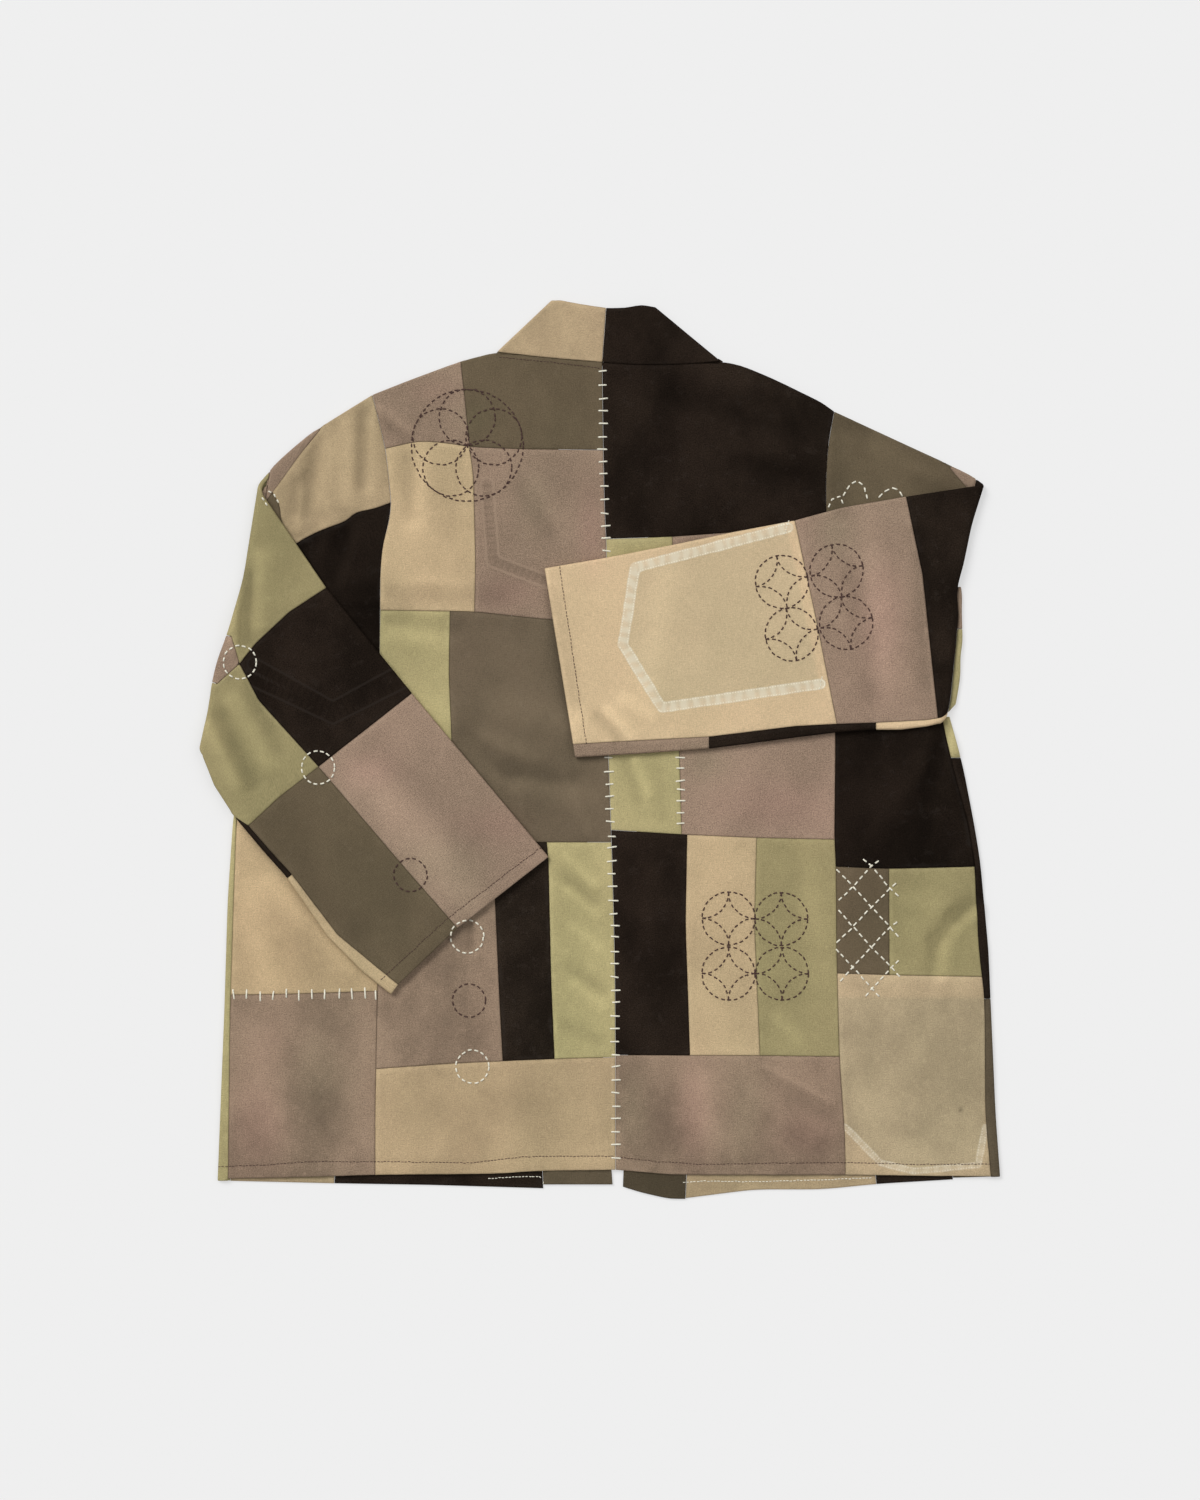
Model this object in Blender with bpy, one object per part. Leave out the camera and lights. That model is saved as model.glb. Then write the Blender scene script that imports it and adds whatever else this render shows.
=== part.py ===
"""Patched boro jacket laid face down on a flat surface, its sleeves folded back over the body.

Plan sizes are millimetres in the tables and metres in the meshes. X runs to the viewer's right, Y up the
jacket's back and Z up from the surface. The origin is the bottom centre of the whole jacket.
Every patch is a wall of cloth on a mid surface: a grid blended between four seams, rolled round the
jacket's edges where the cloth turns under, and carried round the fold line on the sleeves.
"""
import math

import bpy
import numpy as np

MM = 0.001

# Cloth and layers
WALL = 1.2
BAND_WALL = 2.0
SEAM_GAP = 0.3
HALF_BODY = 1.4
HALF_FOREARM = 1.8
BODY_MID = WALL / 2 + HALF_BODY
BAND_MID = BAND_WALL / 2 + HALF_BODY
FOLD_RADIUS = 3.0
FOLD_LENGTH = math.pi * FOLD_RADIUS
FOLD_UNDER = 3.0
FOLD_EASE = 0.5
FOLD_ROWS = 5
ROLL_ROWS = 4
LAP = 3.0
LAP_EASE = 0.8
LEAN_FADE = 40.0
SHARP_DEG = 50

# Grid lines of the patches: greatest spacing, and how near a bend pulls a line to itself
STEP = 36.0
CREASED_STEP = 14.0
COLLAR_STEP = 18.0
FOLD_STEP = 22.0
UNDER_STEP = 45.0
ARM_FRONT_STEP = 60.0
SIDE_STRIP_STEP = 72.0
FRONT_STEP = 90.0
BAND_STEP = 110.0
SNAP = 8.0
SNAP_SHARE = 0.06

# Distances used to find where seams meet
REACH = 12.0
RAY = 80.0
BEND_MARGIN = 4.0
POINT_MARGIN = 0.3
EDGE_MARGIN = 1.0
TINY = 1e-9

# Along an upper arm's top edge, how far past the strip's start each sheet begins or ends its turn
BACK_TURN = 3.0
FRONT_TURN = 8.0

# Outlines and seams of the back, left of the centre seam
SHOULDER_L = [(-205, 320), (-172, 333), (-125.5, 350.3), (-93, 358.5)]
NECK_L = [(-93, 358.5), (-72, 356), (-49, 353.5), (-22, 351), (2, 349.2)]
CENTRE = [(2, 349), (3, 270), (4, 221), (5.5, 189), (6, 171), (7.5, -5), (10, -72), (12, -135), (13.5, -207),
          (14, -276), (14, -378)]
PANEL_L = [(-205, 320), (-193, 271), (-188, 222), (-190, 206), (-196, 183), (-198, 157), (-198, 128),
           (-198.5, 85), (-199, 0), (-200, -135), (-200, -211), (-201, -243), (-202.5, -328), (-202.5, -383)]
SIDE_SEAM_L = [(-309, 30), (-321, -13), (-327, -61), (-330, -135), (-333, -234), (-335, -386)]
SIDE_L = [(-315, 30), (-323.5, -13), (-330.5, -61), (-335.5, -135), (-338.5, -234), (-344.5, -386)]
YOKE_LINE_L = [(-193, 271.5), (-163, 278.5), (-135, 276), (-117.5, 273), (-75, 271), (3, 270)]
YOKE_SPLIT = [(-125.5, 350), (-121.5, 315), (-117.5, 273)]
TAN_TAUPE = [(-117.5, 273), (-114, 247), (-112, 171), (-113, 125)]
LINE_610 = [(-198, 126), (-135, 125), (-113, 124.5), (-42, 117), (6.5, 115)]
GREEN_GREY = [(-135, 125), (-136, 66), (-133.5, 12), (-133, -83)]
LINE_842 = [(-199.5, -83), (-133, -83), (-96, -83), (-48, -83), (10, -83)]
LINE_995 = [(-333, -220.5), (-270, -219.5), (-200, -217)]
TAUPE_DARK = [(-96, -83), (-94.5, -135), (-90, -234), (-87.5, -280)]
DARK_GREEN = [(-48, -83), (-46.5, -98), (-44, -207), (-41, -278)]
LINE_1060 = [(-201.5, -287), (-132, -282), (-87.5, -280), (-41, -278), (14, -276.5)]
HEM_L = [(-335, -386), (-270, -384.5), (-202.5, -382.5), (-91, -381.5), (-59, -379), (14, -378)]
ARM_LEVEL_L = [(-198.5, 85.5), (-205, 67), (-225, 52), (-270, 40), (-309, 31)]

# Outlines and seams of the back, right of the centre seam
SHOULDER_R = [(109, 350), (127, 346.5), (155, 335), (200, 313), (211, 305)]
NECK_R = [(2, 349.2), (29, 347), (56, 346.5), (85, 348), (109, 350)]
PANEL_R = [(211, 305), (205.5, 276), (203.5, 247), (203.5, 217), (206, 135), (209.5, 63), (212, 9),
           (211, -80), (212.5, -105), (213, -179), (215.5, -275), (220.5, -348), (221, -383)]
SIDE_SEAM_R = [(308, 30), (317, -14), (331, -63), (337, -99), (341, -179), (346.5, -226), (347, -328),
               (352, -384)]
SIDE_R = [(315, 30), (327, -14), (336.5, -63), (342.5, -99), (350, -179), (352, -226), (356.5, -328),
          (360.5, -384)]
LINE_537 = [(5.5, 190), (65, 192), (120, 196), (205, 200)]
GREEN_TAUPE = [(65, 192), (71.5, -4), (73.5, -76)]
LINE_835 = [(10, -72), (73.5, -76), (141, -79), (211, -80.5)]
DARK_TAN = [(78.5, -76), (77, -156), (81, -275)]
TAN_GREEN = [(141, -79), (139, -156), (144, -275)]
LINE_1056 = [(14, -274.5), (81, -275), (144, -275), (215.5, -276)]
LINE_867 = [(212.5, -105), (260, -107), (338, -105)]
OLIVE_GREEN = [(260, -107), (260.5, -202.5)]
LINE_975 = [(213, -201), (260.5, -202.5), (342.5, -204)]
HEM_R = [(14, -378), (65, -382.5), (221, -382.5), (352, -384)]
ARM_LEVEL_R = [(209.5, 63), (218, 48), (236, 38), (270, 32), (308, 30)]

# Fronts and bands, which lie on the surface under the back
FRONT_SIDE_L = [(-303, 30), (-320, -61), (-328, -234), (-333, -388)]
FRONT_SEAM_L = [(-198.5, 85.5), (-239.5, -391)]
FRONT_HEM_L = [(-344, -388), (-239.5, -390.5), (-151, -392), (-51, -395)]
BAND_OUTER_L = [(-93, 358.5), (-51, -395)]
BAND_INNER_L = [(-47, 402), (11.5, -391.5)]
BAND_HEM_L = [(-51, -391.5), (11.5, -391.5)]
FRONT_SIDE_R = [(293, 30), (309, -99), (314, -226), (318, -388)]
FRONT_SEAM_R = [(209.5, 63), (249, -391)]
FRONT_HEM_R = [(76, -404), (139, -396), (200.5, -396), (250, -391), (318, -387), (360.5, -384)]
BAND_OUTER_R = [(109, 350), (77, -404.5)]
BAND_INNER_R = [(51, 398), (20.5, -393.5)]
BAND_HEM_R = [(20.5, -393.5), (36, -398.5), (62.5, -404.5), (77, -404.5)]
SIDE_GREEN_END_R = [(280, -7), (360, -7)]
SIDE_DARK_END_R = [(280, -224), (370, -224)]
ARMPIT_L = [(-340, 31), (-290, 31)]
ARMPIT_R = [(280, 30), (335, 30)]
SIDE_HEM_L = [(-350, -388), (-320, -388)]
SIDE_HEM_R = [(300, -386), (370, -384)]

# Collar
COLLAR_SIDE_L = [(-93, 358.5), (-47, 402)]
COLLAR_TOP_L = [(-47, 402), (-43, 404.5), (-36, 405), (-18, 401.5), (5.5, 398)]
COLLAR_CENTRE = [(5.5, 398), (2, 349)]
COLLAR_TOP_R = [(5.5, 398), (22.5, 398), (37.5, 401), (51, 398)]
COLLAR_SIDE_R = [(109, 350), (51, 398)]

# Left sleeve
ARM_TOP_L = [(-205, 320), (-234, 302), (-261, 285), (-279, 270), (-295, 255.5), (-308, 237)]
ARM_STRIP_L = [(-249, 292), (-267, 270), (-295, 232)]
ARM_OLIVE_TOP_L = [(-309, 213), (-295, 232), (-288, 241.5)]
ARM_BIT_L = [(-295, 232), (-288.5, 221), (-287, 203.5), (-274, 186)]
TAN_DARK_L = [(-188, 223), (-204, 217), (-220, 214), (-229, 206), (-257, 195.5), (-274, 186), (-318, 148)]
FOLD_L = [(-308, 237), (-321, 155), (-332, 112.5), (-348, 54), (-360.5, 2)]
UNDERARM_L = [(-309, 31), (-360.5, 2)]
ARM_LOW_L = [(-198.5, 85.5), (-205, 67), (-225, 52), (-270, 40), (-290, 36.5), (-300, 43), (-360, 8)]
FOREARM_TOP_L = [(-308, 237), (-246, 146), (-169, 51), (-46, -96)]
FOREARM_LOW_L = [(-360.5, 2), (-347, -32), (-330, -58.5), (-302, -92), (-284, -112),
                 (-245, -168), (-214, -199), (-188, -220)]
STRIP_SEAM_L = [(-316, -68), (-297, -90), (-277, -112), (-236, -166), (-181.5, -211)]
CUFF_L = [(-46, -96), (-128, -160), (-181.5, -211), (-188, -220)]
CROSS_SEAM_L = [(-246, 146), (-279.5, 124), (-310, 95.5), (-324, 77.5)]
SMALL_TOP_L = [(-333, 109), (-324, 77.5)]
SMALL_LOW_L = [(-348, 56), (-324, 77.5)]
SMALL_END_L = [(-323, 83), (-328, 70)]
STRIP_SPLIT_L = [(-277, -112), (-286, -119)]
LONG_SEAM_L = [(-324, 77.5), (-307, 44.8), (-253, -15), (-174, -107.5), (-128, -160)]
LOWER_SEAM_L = [(-169, 51), (-253, -15), (-288, -42), (-316, -68), (-330, -58.5)]

# Right sleeve
ARM_TOP_R = [(211, 305), (267, 279), (310.5, 259), (335, 247), (346, 239)]
ARM_STRIP_R = [(311, 259), (319, 249), (329, 238)]
FOLD_R = [(346, 239), (333, 202), (321.5, 171), (314, 135), (312, 90), (311, 25)]
UNDERARM_R = [(330, 38), (270, 48)]
FOREARM_TOP_R = [(346, 239), (275, 228), (217, 218), (175, 206.5), (119, 196), (65, 184.5), (5.5, 173),
                 (-50, 163.5)]
FOREARM_LOW_R = [(311, 25), (294, 21), (270, 18), (246.5, 18), (216, 16), (175.5, 11), (98, 1), (27, -4),
                 (-22.5, -7)]
STRIP_SEAM_R = [(311, 30), (294, 27), (246, 24.5), (213, 23.5), (175.5, 21.5), (98.5, 12), (-12, 6),
                (-26, 5)]
CUFF_R = [(-50, 163.5), (-24, 3.5), (-22.5, -7)]
TAN_TAUPE_R = [(175, 206.5), (195.5, 111.5), (213, 23)]
TAUPE_DARK_R = [(275, 228), (290, 157.5), (304, 26)]
STRIP_END_R1 = [(98, 20), (98, -8)]
STRIP_END_R2 = [(248, 32), (248, 10)]
TUCK_EDGE_R = [(319.5, 141), (322.5, 132), (325.5, 112.5), (326, 81), (324, 45), (319, 31)]
TUCK_CLEARANCE = 0.3
TUCK_TOP_R = [(305, 132), (330, 132)]
TUCK_MID_R = [(305, 96), (335, 96)]
TUCK_LOW_R = [(305, 33), (335, 33)]

# Soft creases: start, end, half width and height
CREASES = [
    ((-268, 272), (-264, 205), 8, 2.2),
    ((-243, 288), (-238, 205), 8, 2.6),
    ((-219, 300), (-222, 222), 9, 1.8),
    ((-206, 180), (-222, 145), 10, 1.0),
    ((-160, 335), (-60, 285), 26, 1.4),
    ((60, 325), (170, 235), 30, 1.8),
    ((20, 260), (90, 215), 22, 1.2),
    ((100, -110), (150, -250), 26, 1.3),
    ((-110, -110), (-70, -250), 24, 1.2),
    ((-290, -250), (-250, -360), 24, 1.5),
    ((40, -310), (170, -345), 24, 1.4),
    ((-160, -330), (-40, -318), 24, 1.2),
    ((304, -14), (317, -62), 9, 2.0),
    ((306, -125), (322, -185), 10, 1.8),
    ((270, -250), (300, -350), 22, 1.5),
    ((-220, -40), (-130, -110), 20, 1.3),
    ((40, 140), (150, 110), 22, 1.3),
    ((230, 190), (240, 70), 18, 1.3),
]

# Cloth colours, linear base colour and roughness
CLOTH = {
    "tan": (0.52, 0.39, 0.23),
    "pale_tan": (0.62, 0.47, 0.29),
    "taupe": (0.31, 0.225, 0.155),
    "olive": (0.13, 0.10, 0.062),
    "grey_olive": (0.163, 0.124, 0.079),
    "dark": (0.020, 0.014, 0.010),
    "green": (0.42, 0.365, 0.18),
    "khaki": (0.385, 0.307, 0.190),
    "band_olive": (0.09, 0.069, 0.042),
}
CLOTH_ROUGHNESS = 0.9

BACK_SHEET = 1.0
FRONT_SHEET = -1.0


def curve(points):
    return np.array(points, dtype=float)


def unit(vector):
    return vector / max(np.linalg.norm(vector), TINY)


def joined(first, second):
    return list(first) + list(second)[1:]


def stretch(line, low, high):
    """The stretch of a line between two X values, in order of X."""
    ordered = sorted(line)
    x = [point[0] for point in ordered]
    y = [point[1] for point in ordered]
    low, high = max(low, x[0]), min(high, x[-1])
    inner = [point for point in ordered if low + EDGE_MARGIN < point[0] < high - EDGE_MARGIN]
    return [(low, np.interp(low, x, y))] + inner + [(high, np.interp(high, x, y))]


def arc_lengths(line):
    steps = np.linalg.norm(np.diff(line, axis=0), axis=1)
    return np.concatenate([[0.0], np.cumsum(steps)])


def point_at(line, distance):
    lengths = arc_lengths(line)
    return np.array([np.interp(distance, lengths, line[:, axis]) for axis in range(2)])


def extended(line, reach):
    first = line[0] - line[1]
    last = line[-1] - line[-2]
    start = line[0] + first / np.linalg.norm(first) * reach
    end = line[-1] + last / np.linalg.norm(last) * reach
    return np.vstack([start, line[1:-1], end])


def left_normals(line):
    """Unit normals to the left of each segment."""
    along = np.diff(line, axis=0)
    along /= np.linalg.norm(along, axis=1)[:, None]
    return np.column_stack([-along[:, 1], along[:, 0]])


def shifted(line, distance):
    """The line moved parallel to itself, to its left by distance."""
    line = np.asarray(line, dtype=float)
    normals = left_normals(line)
    moved = []
    for index, point in enumerate(line):
        before = normals[max(index - 1, 0)]
        after = normals[min(index, len(normals) - 1)]
        miter = before + after
        miter /= max(np.dot(miter, before), TINY)
        moved.append(point + miter * distance)
    return np.array(moved)


def moved_towards(line, inside, distance):
    """The line moved parallel to itself towards the point called inside."""
    line = np.asarray(line, dtype=float)
    nearest = np.argmin(np.linalg.norm((line[1:] + line[:-1]) / 2 - inside, axis=1))
    middle = (line[nearest] + line[nearest + 1]) / 2
    side = np.dot(left_normals(line)[nearest], inside - middle)
    return shifted(line, distance if side > 0 else -distance)


def crossing(first, second):
    """Distances along two lines to the place where they cross."""
    first_lengths = arc_lengths(first)
    second_lengths = arc_lengths(second)
    for i in range(len(first) - 1):
        p = first[i]
        r = first[i + 1] - p
        for j in range(len(second) - 1):
            q = second[j]
            s = second[j + 1] - q
            spread = r[0] * s[1] - r[1] * s[0]
            if abs(spread) < TINY:
                continue
            gap = q - p
            along_first = (gap[0] * s[1] - gap[1] * s[0]) / spread
            along_second = (gap[0] * r[1] - gap[1] * r[0]) / spread
            if -TINY <= along_first <= 1 + TINY and -TINY <= along_second <= 1 + TINY:
                return (first_lengths[i] + along_first * np.linalg.norm(r),
                        second_lengths[j] + along_second * np.linalg.norm(s))
    raise ValueError("two seams of a patch do not cross")


def between(line, start, end):
    """The stretch of a line between two distances along it."""
    low, high = min(start, end), max(start, end)
    lengths = arc_lengths(line)
    inner = [point for point, length in zip(line, lengths)
             if low + POINT_MARGIN < length < high - POINT_MARGIN]
    part = np.array([point_at(line, low)] + inner + [point_at(line, high)])
    return part if start <= end else part[::-1]


def fractions(line):
    lengths = arc_lengths(line)
    return lengths / lengths[-1]


def grid_fractions(first, second, step):
    """Grid lines through every bend of two opposite sides, no further apart than step."""
    longest = max(arc_lengths(first)[-1], arc_lengths(second)[-1])
    close = min(SNAP_SHARE, SNAP / longest)
    bends = sorted(list(fractions(first)) + list(fractions(second)))
    kept = [0.0]
    for value in bends:
        if value - kept[-1] > close and 1.0 - value > close:
            kept.append(value)
    kept.append(1.0)
    lines = [0.0]
    for low, high in zip(kept[:-1], kept[1:]):
        count = max(1, math.ceil((high - low) * longest / step))
        lines += [low + (high - low) * k / count for k in range(1, count + 1)]
    return lines, close


def sample(line, values, close):
    """Points at the grid lines, moved to the line's own bends where one is close."""
    length = arc_lengths(line)[-1]
    places = np.array(values)
    for bend in fractions(line)[1:-1]:
        nearest = 1 + int(np.argmin(np.abs(np.array(values[1:-1]) - bend))) if len(values) > 2 else 0
        if nearest and abs(values[nearest] - bend) <= close + TINY:
            places[nearest] = bend
    return np.array([point_at(line, place * length) for place in places])


class Fold:
    """A sleeve's fold line, over which the forearm comes back onto the body."""

    def __init__(self, silhouette, outward):
        line = curve(silhouette)
        chord = line[-1] - line[0]
        self.origin = line[0]
        self.along = unit(chord)
        line = extended(line, 3 * REACH)
        normal = np.array([-self.along[1], self.along[0]])
        self.normal = normal if np.dot(normal, outward) > 0 else -normal
        self.stations = (line - self.origin) @ self.along
        inset = FOLD_RADIUS + (HALF_BODY + HALF_FOREARM) / 2 + WALL / 2
        self.offsets = (line - self.origin) @ self.normal - inset
        self.centre_height = BODY_MID + FOLD_RADIUS

    def offset(self, station):
        return np.interp(station, self.stations, self.offsets)

    def unfold(self, points, forearm=True):
        """Plan points as distance along the fold and unfolded distance across it."""
        relative = np.asarray(points, dtype=float) - self.origin
        station = relative @ self.along
        across = relative @ self.normal - self.offset(station)
        if forearm:
            across = FOLD_LENGTH - across
        return np.column_stack([station, across])

    def inner_line(self):
        """The plan line a little inside the fold where the upper arm's pieces end."""
        across = FOLD_UNDER + FOLD_EASE
        return [tuple(self.origin + self.along * t + self.normal * (self.offset(t) - across))
                for t in self.stations]

    def unfold_line(self, line):
        """A forearm line in unfolded coordinates, with a point at each bend of the fold line."""
        points = [self.unfold([line[0]])[0]]
        for start, end in zip(curve(line[:-1]), curve(line[1:])):
            first = self.unfold([start])[0][0]
            last = self.unfold([end])[0][0]
            shares = [(bend - first) / (last - first) for bend in self.stations if last != first]
            close = BEND_MARGIN / np.linalg.norm(end - start)
            for share in sorted(share for share in shares if close < share < 1 - close):
                points.append(self.unfold([start + (end - start) * share])[0])
            points.append(self.unfold([end])[0])
        return [tuple(point) for point in points]

    def half_gap(self, across):
        share = min(max(across / FOLD_LENGTH, 0.0), 1.0)
        return HALF_BODY + (HALF_FOREARM - HALF_BODY) * share

    def place(self, point, sheet):
        """A point of the unfolded sleeve in space."""
        station, across = point
        radius = FOLD_RADIUS - sheet * self.half_gap(across)
        angle = min(max(across / FOLD_RADIUS, 0.0), math.pi)
        past = across - angle * FOLD_RADIUS
        out = radius * math.sin(angle) + (past if across < 0 else -past)
        plan = self.origin + self.along * station + self.normal * (self.offset(station) + out)
        return np.array([plan[0], plan[1], self.centre_height - radius * math.cos(angle)])


class Flat:
    """The body and upper arms: two sheets that lie on each other."""

    def __init__(self, mid):
        self.mid = mid

    def half_gap(self, across):
        return HALF_BODY

    def place(self, point, sheet):
        return np.array([point[0], point[1], self.mid + sheet * HALF_BODY])


BODY = Flat(BODY_MID)
BAND = Flat(BAND_MID)
FOLD_LEFT = Fold(FOLD_L, np.array([-1.0, 0.0]))
FOLD_RIGHT = Fold(FOLD_R, np.array([1.0, 0.0]))


def crease_height(x, y):
    """Height of the soft creases at a plan point."""
    total = 0.0
    for start, end, width, height in CREASES:
        a = np.array(start, dtype=float)
        along = np.array(end, dtype=float) - a
        length = np.linalg.norm(along)
        along /= length
        relative = np.array([x, y]) - a
        station = np.dot(relative, along)
        across = relative[0] * along[1] - relative[1] * along[0]
        past = max(-station, station - length, 0.0)
        total += height * math.exp(-(across ** 2 + past ** 2) / (2 * width ** 2))
    return total


class Patch:
    """One piece of cloth: a lattice of mid-surface points and the cells between them."""

    def __init__(self, name, cloth, south, east, north, west, inside, base=BODY, sheet=BACK_SHEET,
                 wall=WALL, step=STEP, level=True):
        self.name = name
        self.cloth = cloth
        self.base = base
        self.wall = wall
        self.level = level
        centre = np.array(inside, dtype=float)
        sides = [extended(moved_towards(side, centre, SEAM_GAP / 2), REACH)
                 for side in (south, east, north, west)]
        south, east, north, west = sides
        try:
            south_west = crossing(south, west)
            south_east = crossing(south, east)
            north_west = crossing(north, west)
            north_east = crossing(north, east)
        except ValueError as problem:
            raise ValueError(name) from problem
        south = between(south, south_west[0], south_east[0])
        north = between(north, north_west[0], north_east[0])
        west = between(west, south_west[1], north_west[1])
        east = between(east, south_east[1], north_east[1])
        columns, close_u = grid_fractions(south, north, step)
        rows, close_v = grid_fractions(west, east, step)
        low = sample(south, columns, close_u)
        high = sample(north, columns, close_u)
        left = sample(west, rows, close_v)
        right = sample(east, rows, close_v)
        self.points = {}
        for j, v in enumerate(rows):
            for i, u in enumerate(columns):
                corners = ((1 - u) * (1 - v) * low[0] + u * (1 - v) * low[-1]
                           + (1 - u) * v * high[0] + u * v * high[-1])
                blend = (1 - v) * low[i] + v * high[i] + (1 - u) * left[j] + u * right[j] - corners
                self.points[(i, j)] = (blend[0], blend[1], sheet)
        self.low = [0, 0]
        self.high = [len(columns) - 1, len(rows) - 1]
        self.cells = {(i, j) for i in range(self.high[0]) for j in range(self.high[1])}

    def edge(self, side):
        """Lattice keys along a side and the lattice step that leads out of it."""
        i0, j0, i1, j1 = self.low[0], self.low[1], self.high[0], self.high[1]
        if side == "south":
            return [(i, j0) for i in range(i0, i1 + 1)], (0, -1)
        if side == "north":
            return [(i, j1) for i in range(i0, i1 + 1)], (0, 1)
        if side == "west":
            return [(i0, j) for j in range(j0, j1 + 1)], (-1, 0)
        return [(i1, j) for j in range(j0, j1 + 1)], (1, 0)

    def grow(self, side, lines, chosen):
        """Add lines of points outside a side, and the cells between them."""
        keys, out = self.edge(side)
        for count, line in enumerate(lines, start=1):
            for key in chosen:
                self.points[(key[0] + out[0] * count, key[1] + out[1] * count)] = line[key]
            for first, second in zip(keys[:-1], keys[1:]):
                if first in chosen and second in chosen:
                    inner = (count - 1) * out[0], (count - 1) * out[1]
                    corner = (min(first[0], second[0]) + inner[0] + min(out[0], 0),
                              min(first[1], second[1]) + inner[1] + min(out[1], 0))
                    self.cells.add(corner)
        axis = 0 if out[0] else 1
        if out[axis] > 0:
            self.high[axis] += len(lines)
        else:
            self.low[axis] -= len(lines)

    def outward(self, side, when):
        """Directions out of a side along the lattice, each one unit long across the side."""
        keys, out = self.edge(side)
        keys = [key for key in keys if when is None or when(self.points[key])]
        places = [np.array(self.points[key][:2]) for key in keys]
        inner = [np.array(self.points[(key[0] - out[0], key[1] - out[1])][:2]) for key in keys]
        normals = {}
        for index, key in enumerate(keys):
            before = places[max(index - 1, 0)]
            after = places[min(index + 1, len(keys) - 1)]
            along = after - before
            normal = np.array([-along[1], along[0]])
            normal /= np.linalg.norm(normal)
            course = places[index] - inner[index]
            normals[key] = course / abs(np.dot(normal, course))
        return keys, normals

    def roll(self, side, landing=None, when=None):
        """Turn a side round the jacket's edge onto the other sheet, as far as a seam or by a lap."""
        chosen, normals = self.outward(side, when)
        lines = []
        for count in range(1, ROLL_ROWS + 1):
            angle = math.pi * count / ROLL_ROWS
            line = {}
            for key in chosen:
                x, y, sheet = self.points[key]
                out = normals[key] * self.base.half_gap(y) * math.sin(angle)
                line[key] = (x + out[0], y + out[1], sheet * math.cos(angle))
            lines.append(line)
        last = {}
        for key in chosen:
            x, y, sheet = self.points[key]
            back = -unit(normals[key])
            width = LAP if landing is None else reach_to(np.array([x, y]), back, curve(landing))
            back *= width - SEAM_GAP / 2
            last[key] = (x + back[0], y + back[1], -sheet)
        lines.append(last)
        self.grow(side, lines, set(chosen))

    def carry_round_fold(self, side, lean_first=0.0, lean_last=0.0, under=FOLD_UNDER):
        """Carry a side that lies on the fold's forearm edge round the fold and a little under it."""
        keys, _ = self.edge(side)
        stops = [FOLD_LENGTH * (1 - k / FOLD_ROWS) for k in range(1, FOLD_ROWS + 1)]
        stops.append(SEAM_GAP / 2 - under)
        stations = np.array([self.points[key][0] for key in keys])
        fade = min(LEAN_FADE, abs(stations[-1] - stations[0]))
        first_share = np.maximum(0.0, 1 - np.abs(stations - stations[0]) / fade)
        last_share = np.maximum(0.0, 1 - np.abs(stations - stations[-1]) / fade)
        leans = lean_first * first_share + lean_last * last_share
        lines = []
        for stop in stops:
            line = {}
            for key, lean in zip(keys, leans):
                station, across, sheet = self.points[key]
                line[key] = (station + lean * (FOLD_LENGTH - stop), stop, sheet)
            lines.append(line)
        self.grow(side, lines, set(keys))

    def build(self):
        """Make the wall as a closed mesh, half its thickness to each side of the mid surface."""
        places = {}
        for key, (a, b, sheet) in self.points.items():
            place = self.base.place((a, b), sheet)
            if self.level:
                share = min(max((place[2] - WALL / 2) / (2 * HALF_BODY), 0.0), 1.0)
                place[2] += share * crease_height(place[0], place[1])
            places[key] = place
        return wall_mesh(self.name, self.cloth, places, self.cells, self.wall)


def reach_to(point, direction, line):
    """Distance from a point along a unit direction to a line."""
    line = extended(line, 3 * REACH)
    ray = np.array([point, point + direction * RAY])
    return crossing(ray, line)[0]


def lattice_normal(key, places):
    """Surface normal at a lattice point from its neighbours."""
    here = places[key]
    tangents = []
    for step in ((1, 0), (0, 1)):
        after = places.get((key[0] + step[0], key[1] + step[1]))
        before = places.get((key[0] - step[0], key[1] - step[1]))
        tangent = np.zeros(3)
        if after is not None:
            tangent += unit(after - here)
        if before is not None:
            tangent += unit(here - before)
        tangents.append(unit(tangent))
    return unit(np.cross(tangents[0], tangents[1]))


def wall_mesh(name, cloth, places, cells, wall):
    """A closed wall of cloth from a lattice of mid-surface points."""
    used = sorted({(i + a, j + b) for i, j in cells for a in (0, 1) for b in (0, 1)})
    number = {key: index for index, key in enumerate(used)}
    inner = {key: value for key, value in places.items() if key in number}
    normals = [lattice_normal(key, inner) for key in used]
    over = [inner[key] + normal * wall / 2 for key, normal in zip(used, normals)]
    under = [inner[key] - normal * wall / 2 for key, normal in zip(used, normals)]
    count = len(used)
    faces = []
    rims = {}
    for i, j in sorted(cells):
        ring = [number[(i, j)], number[(i + 1, j)], number[(i + 1, j + 1)], number[(i, j + 1)]]
        faces.append(ring)
        faces.append([count + vertex for vertex in reversed(ring)])
        for a, b in zip(ring, ring[1:] + ring[:1]):
            if (b, a) in rims:
                del rims[(b, a)]
            else:
                rims[(a, b)] = True
    for a, b in rims:
        faces.append([b, a, count + a, count + b])
    mesh = bpy.data.meshes.new(name)
    mesh.from_pydata([tuple(place * MM) for place in over + under], [], faces)
    mesh.materials.append(cloth_material(cloth))
    piece = bpy.data.objects.new(name, mesh)
    bpy.context.scene.collection.objects.link(piece)
    if signed_volume(mesh) < 0:
        mesh.flip_normals()
    mesh.shade_smooth()
    mesh.set_sharp_from_angle(angle=math.radians(SHARP_DEG))
    return piece


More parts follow.
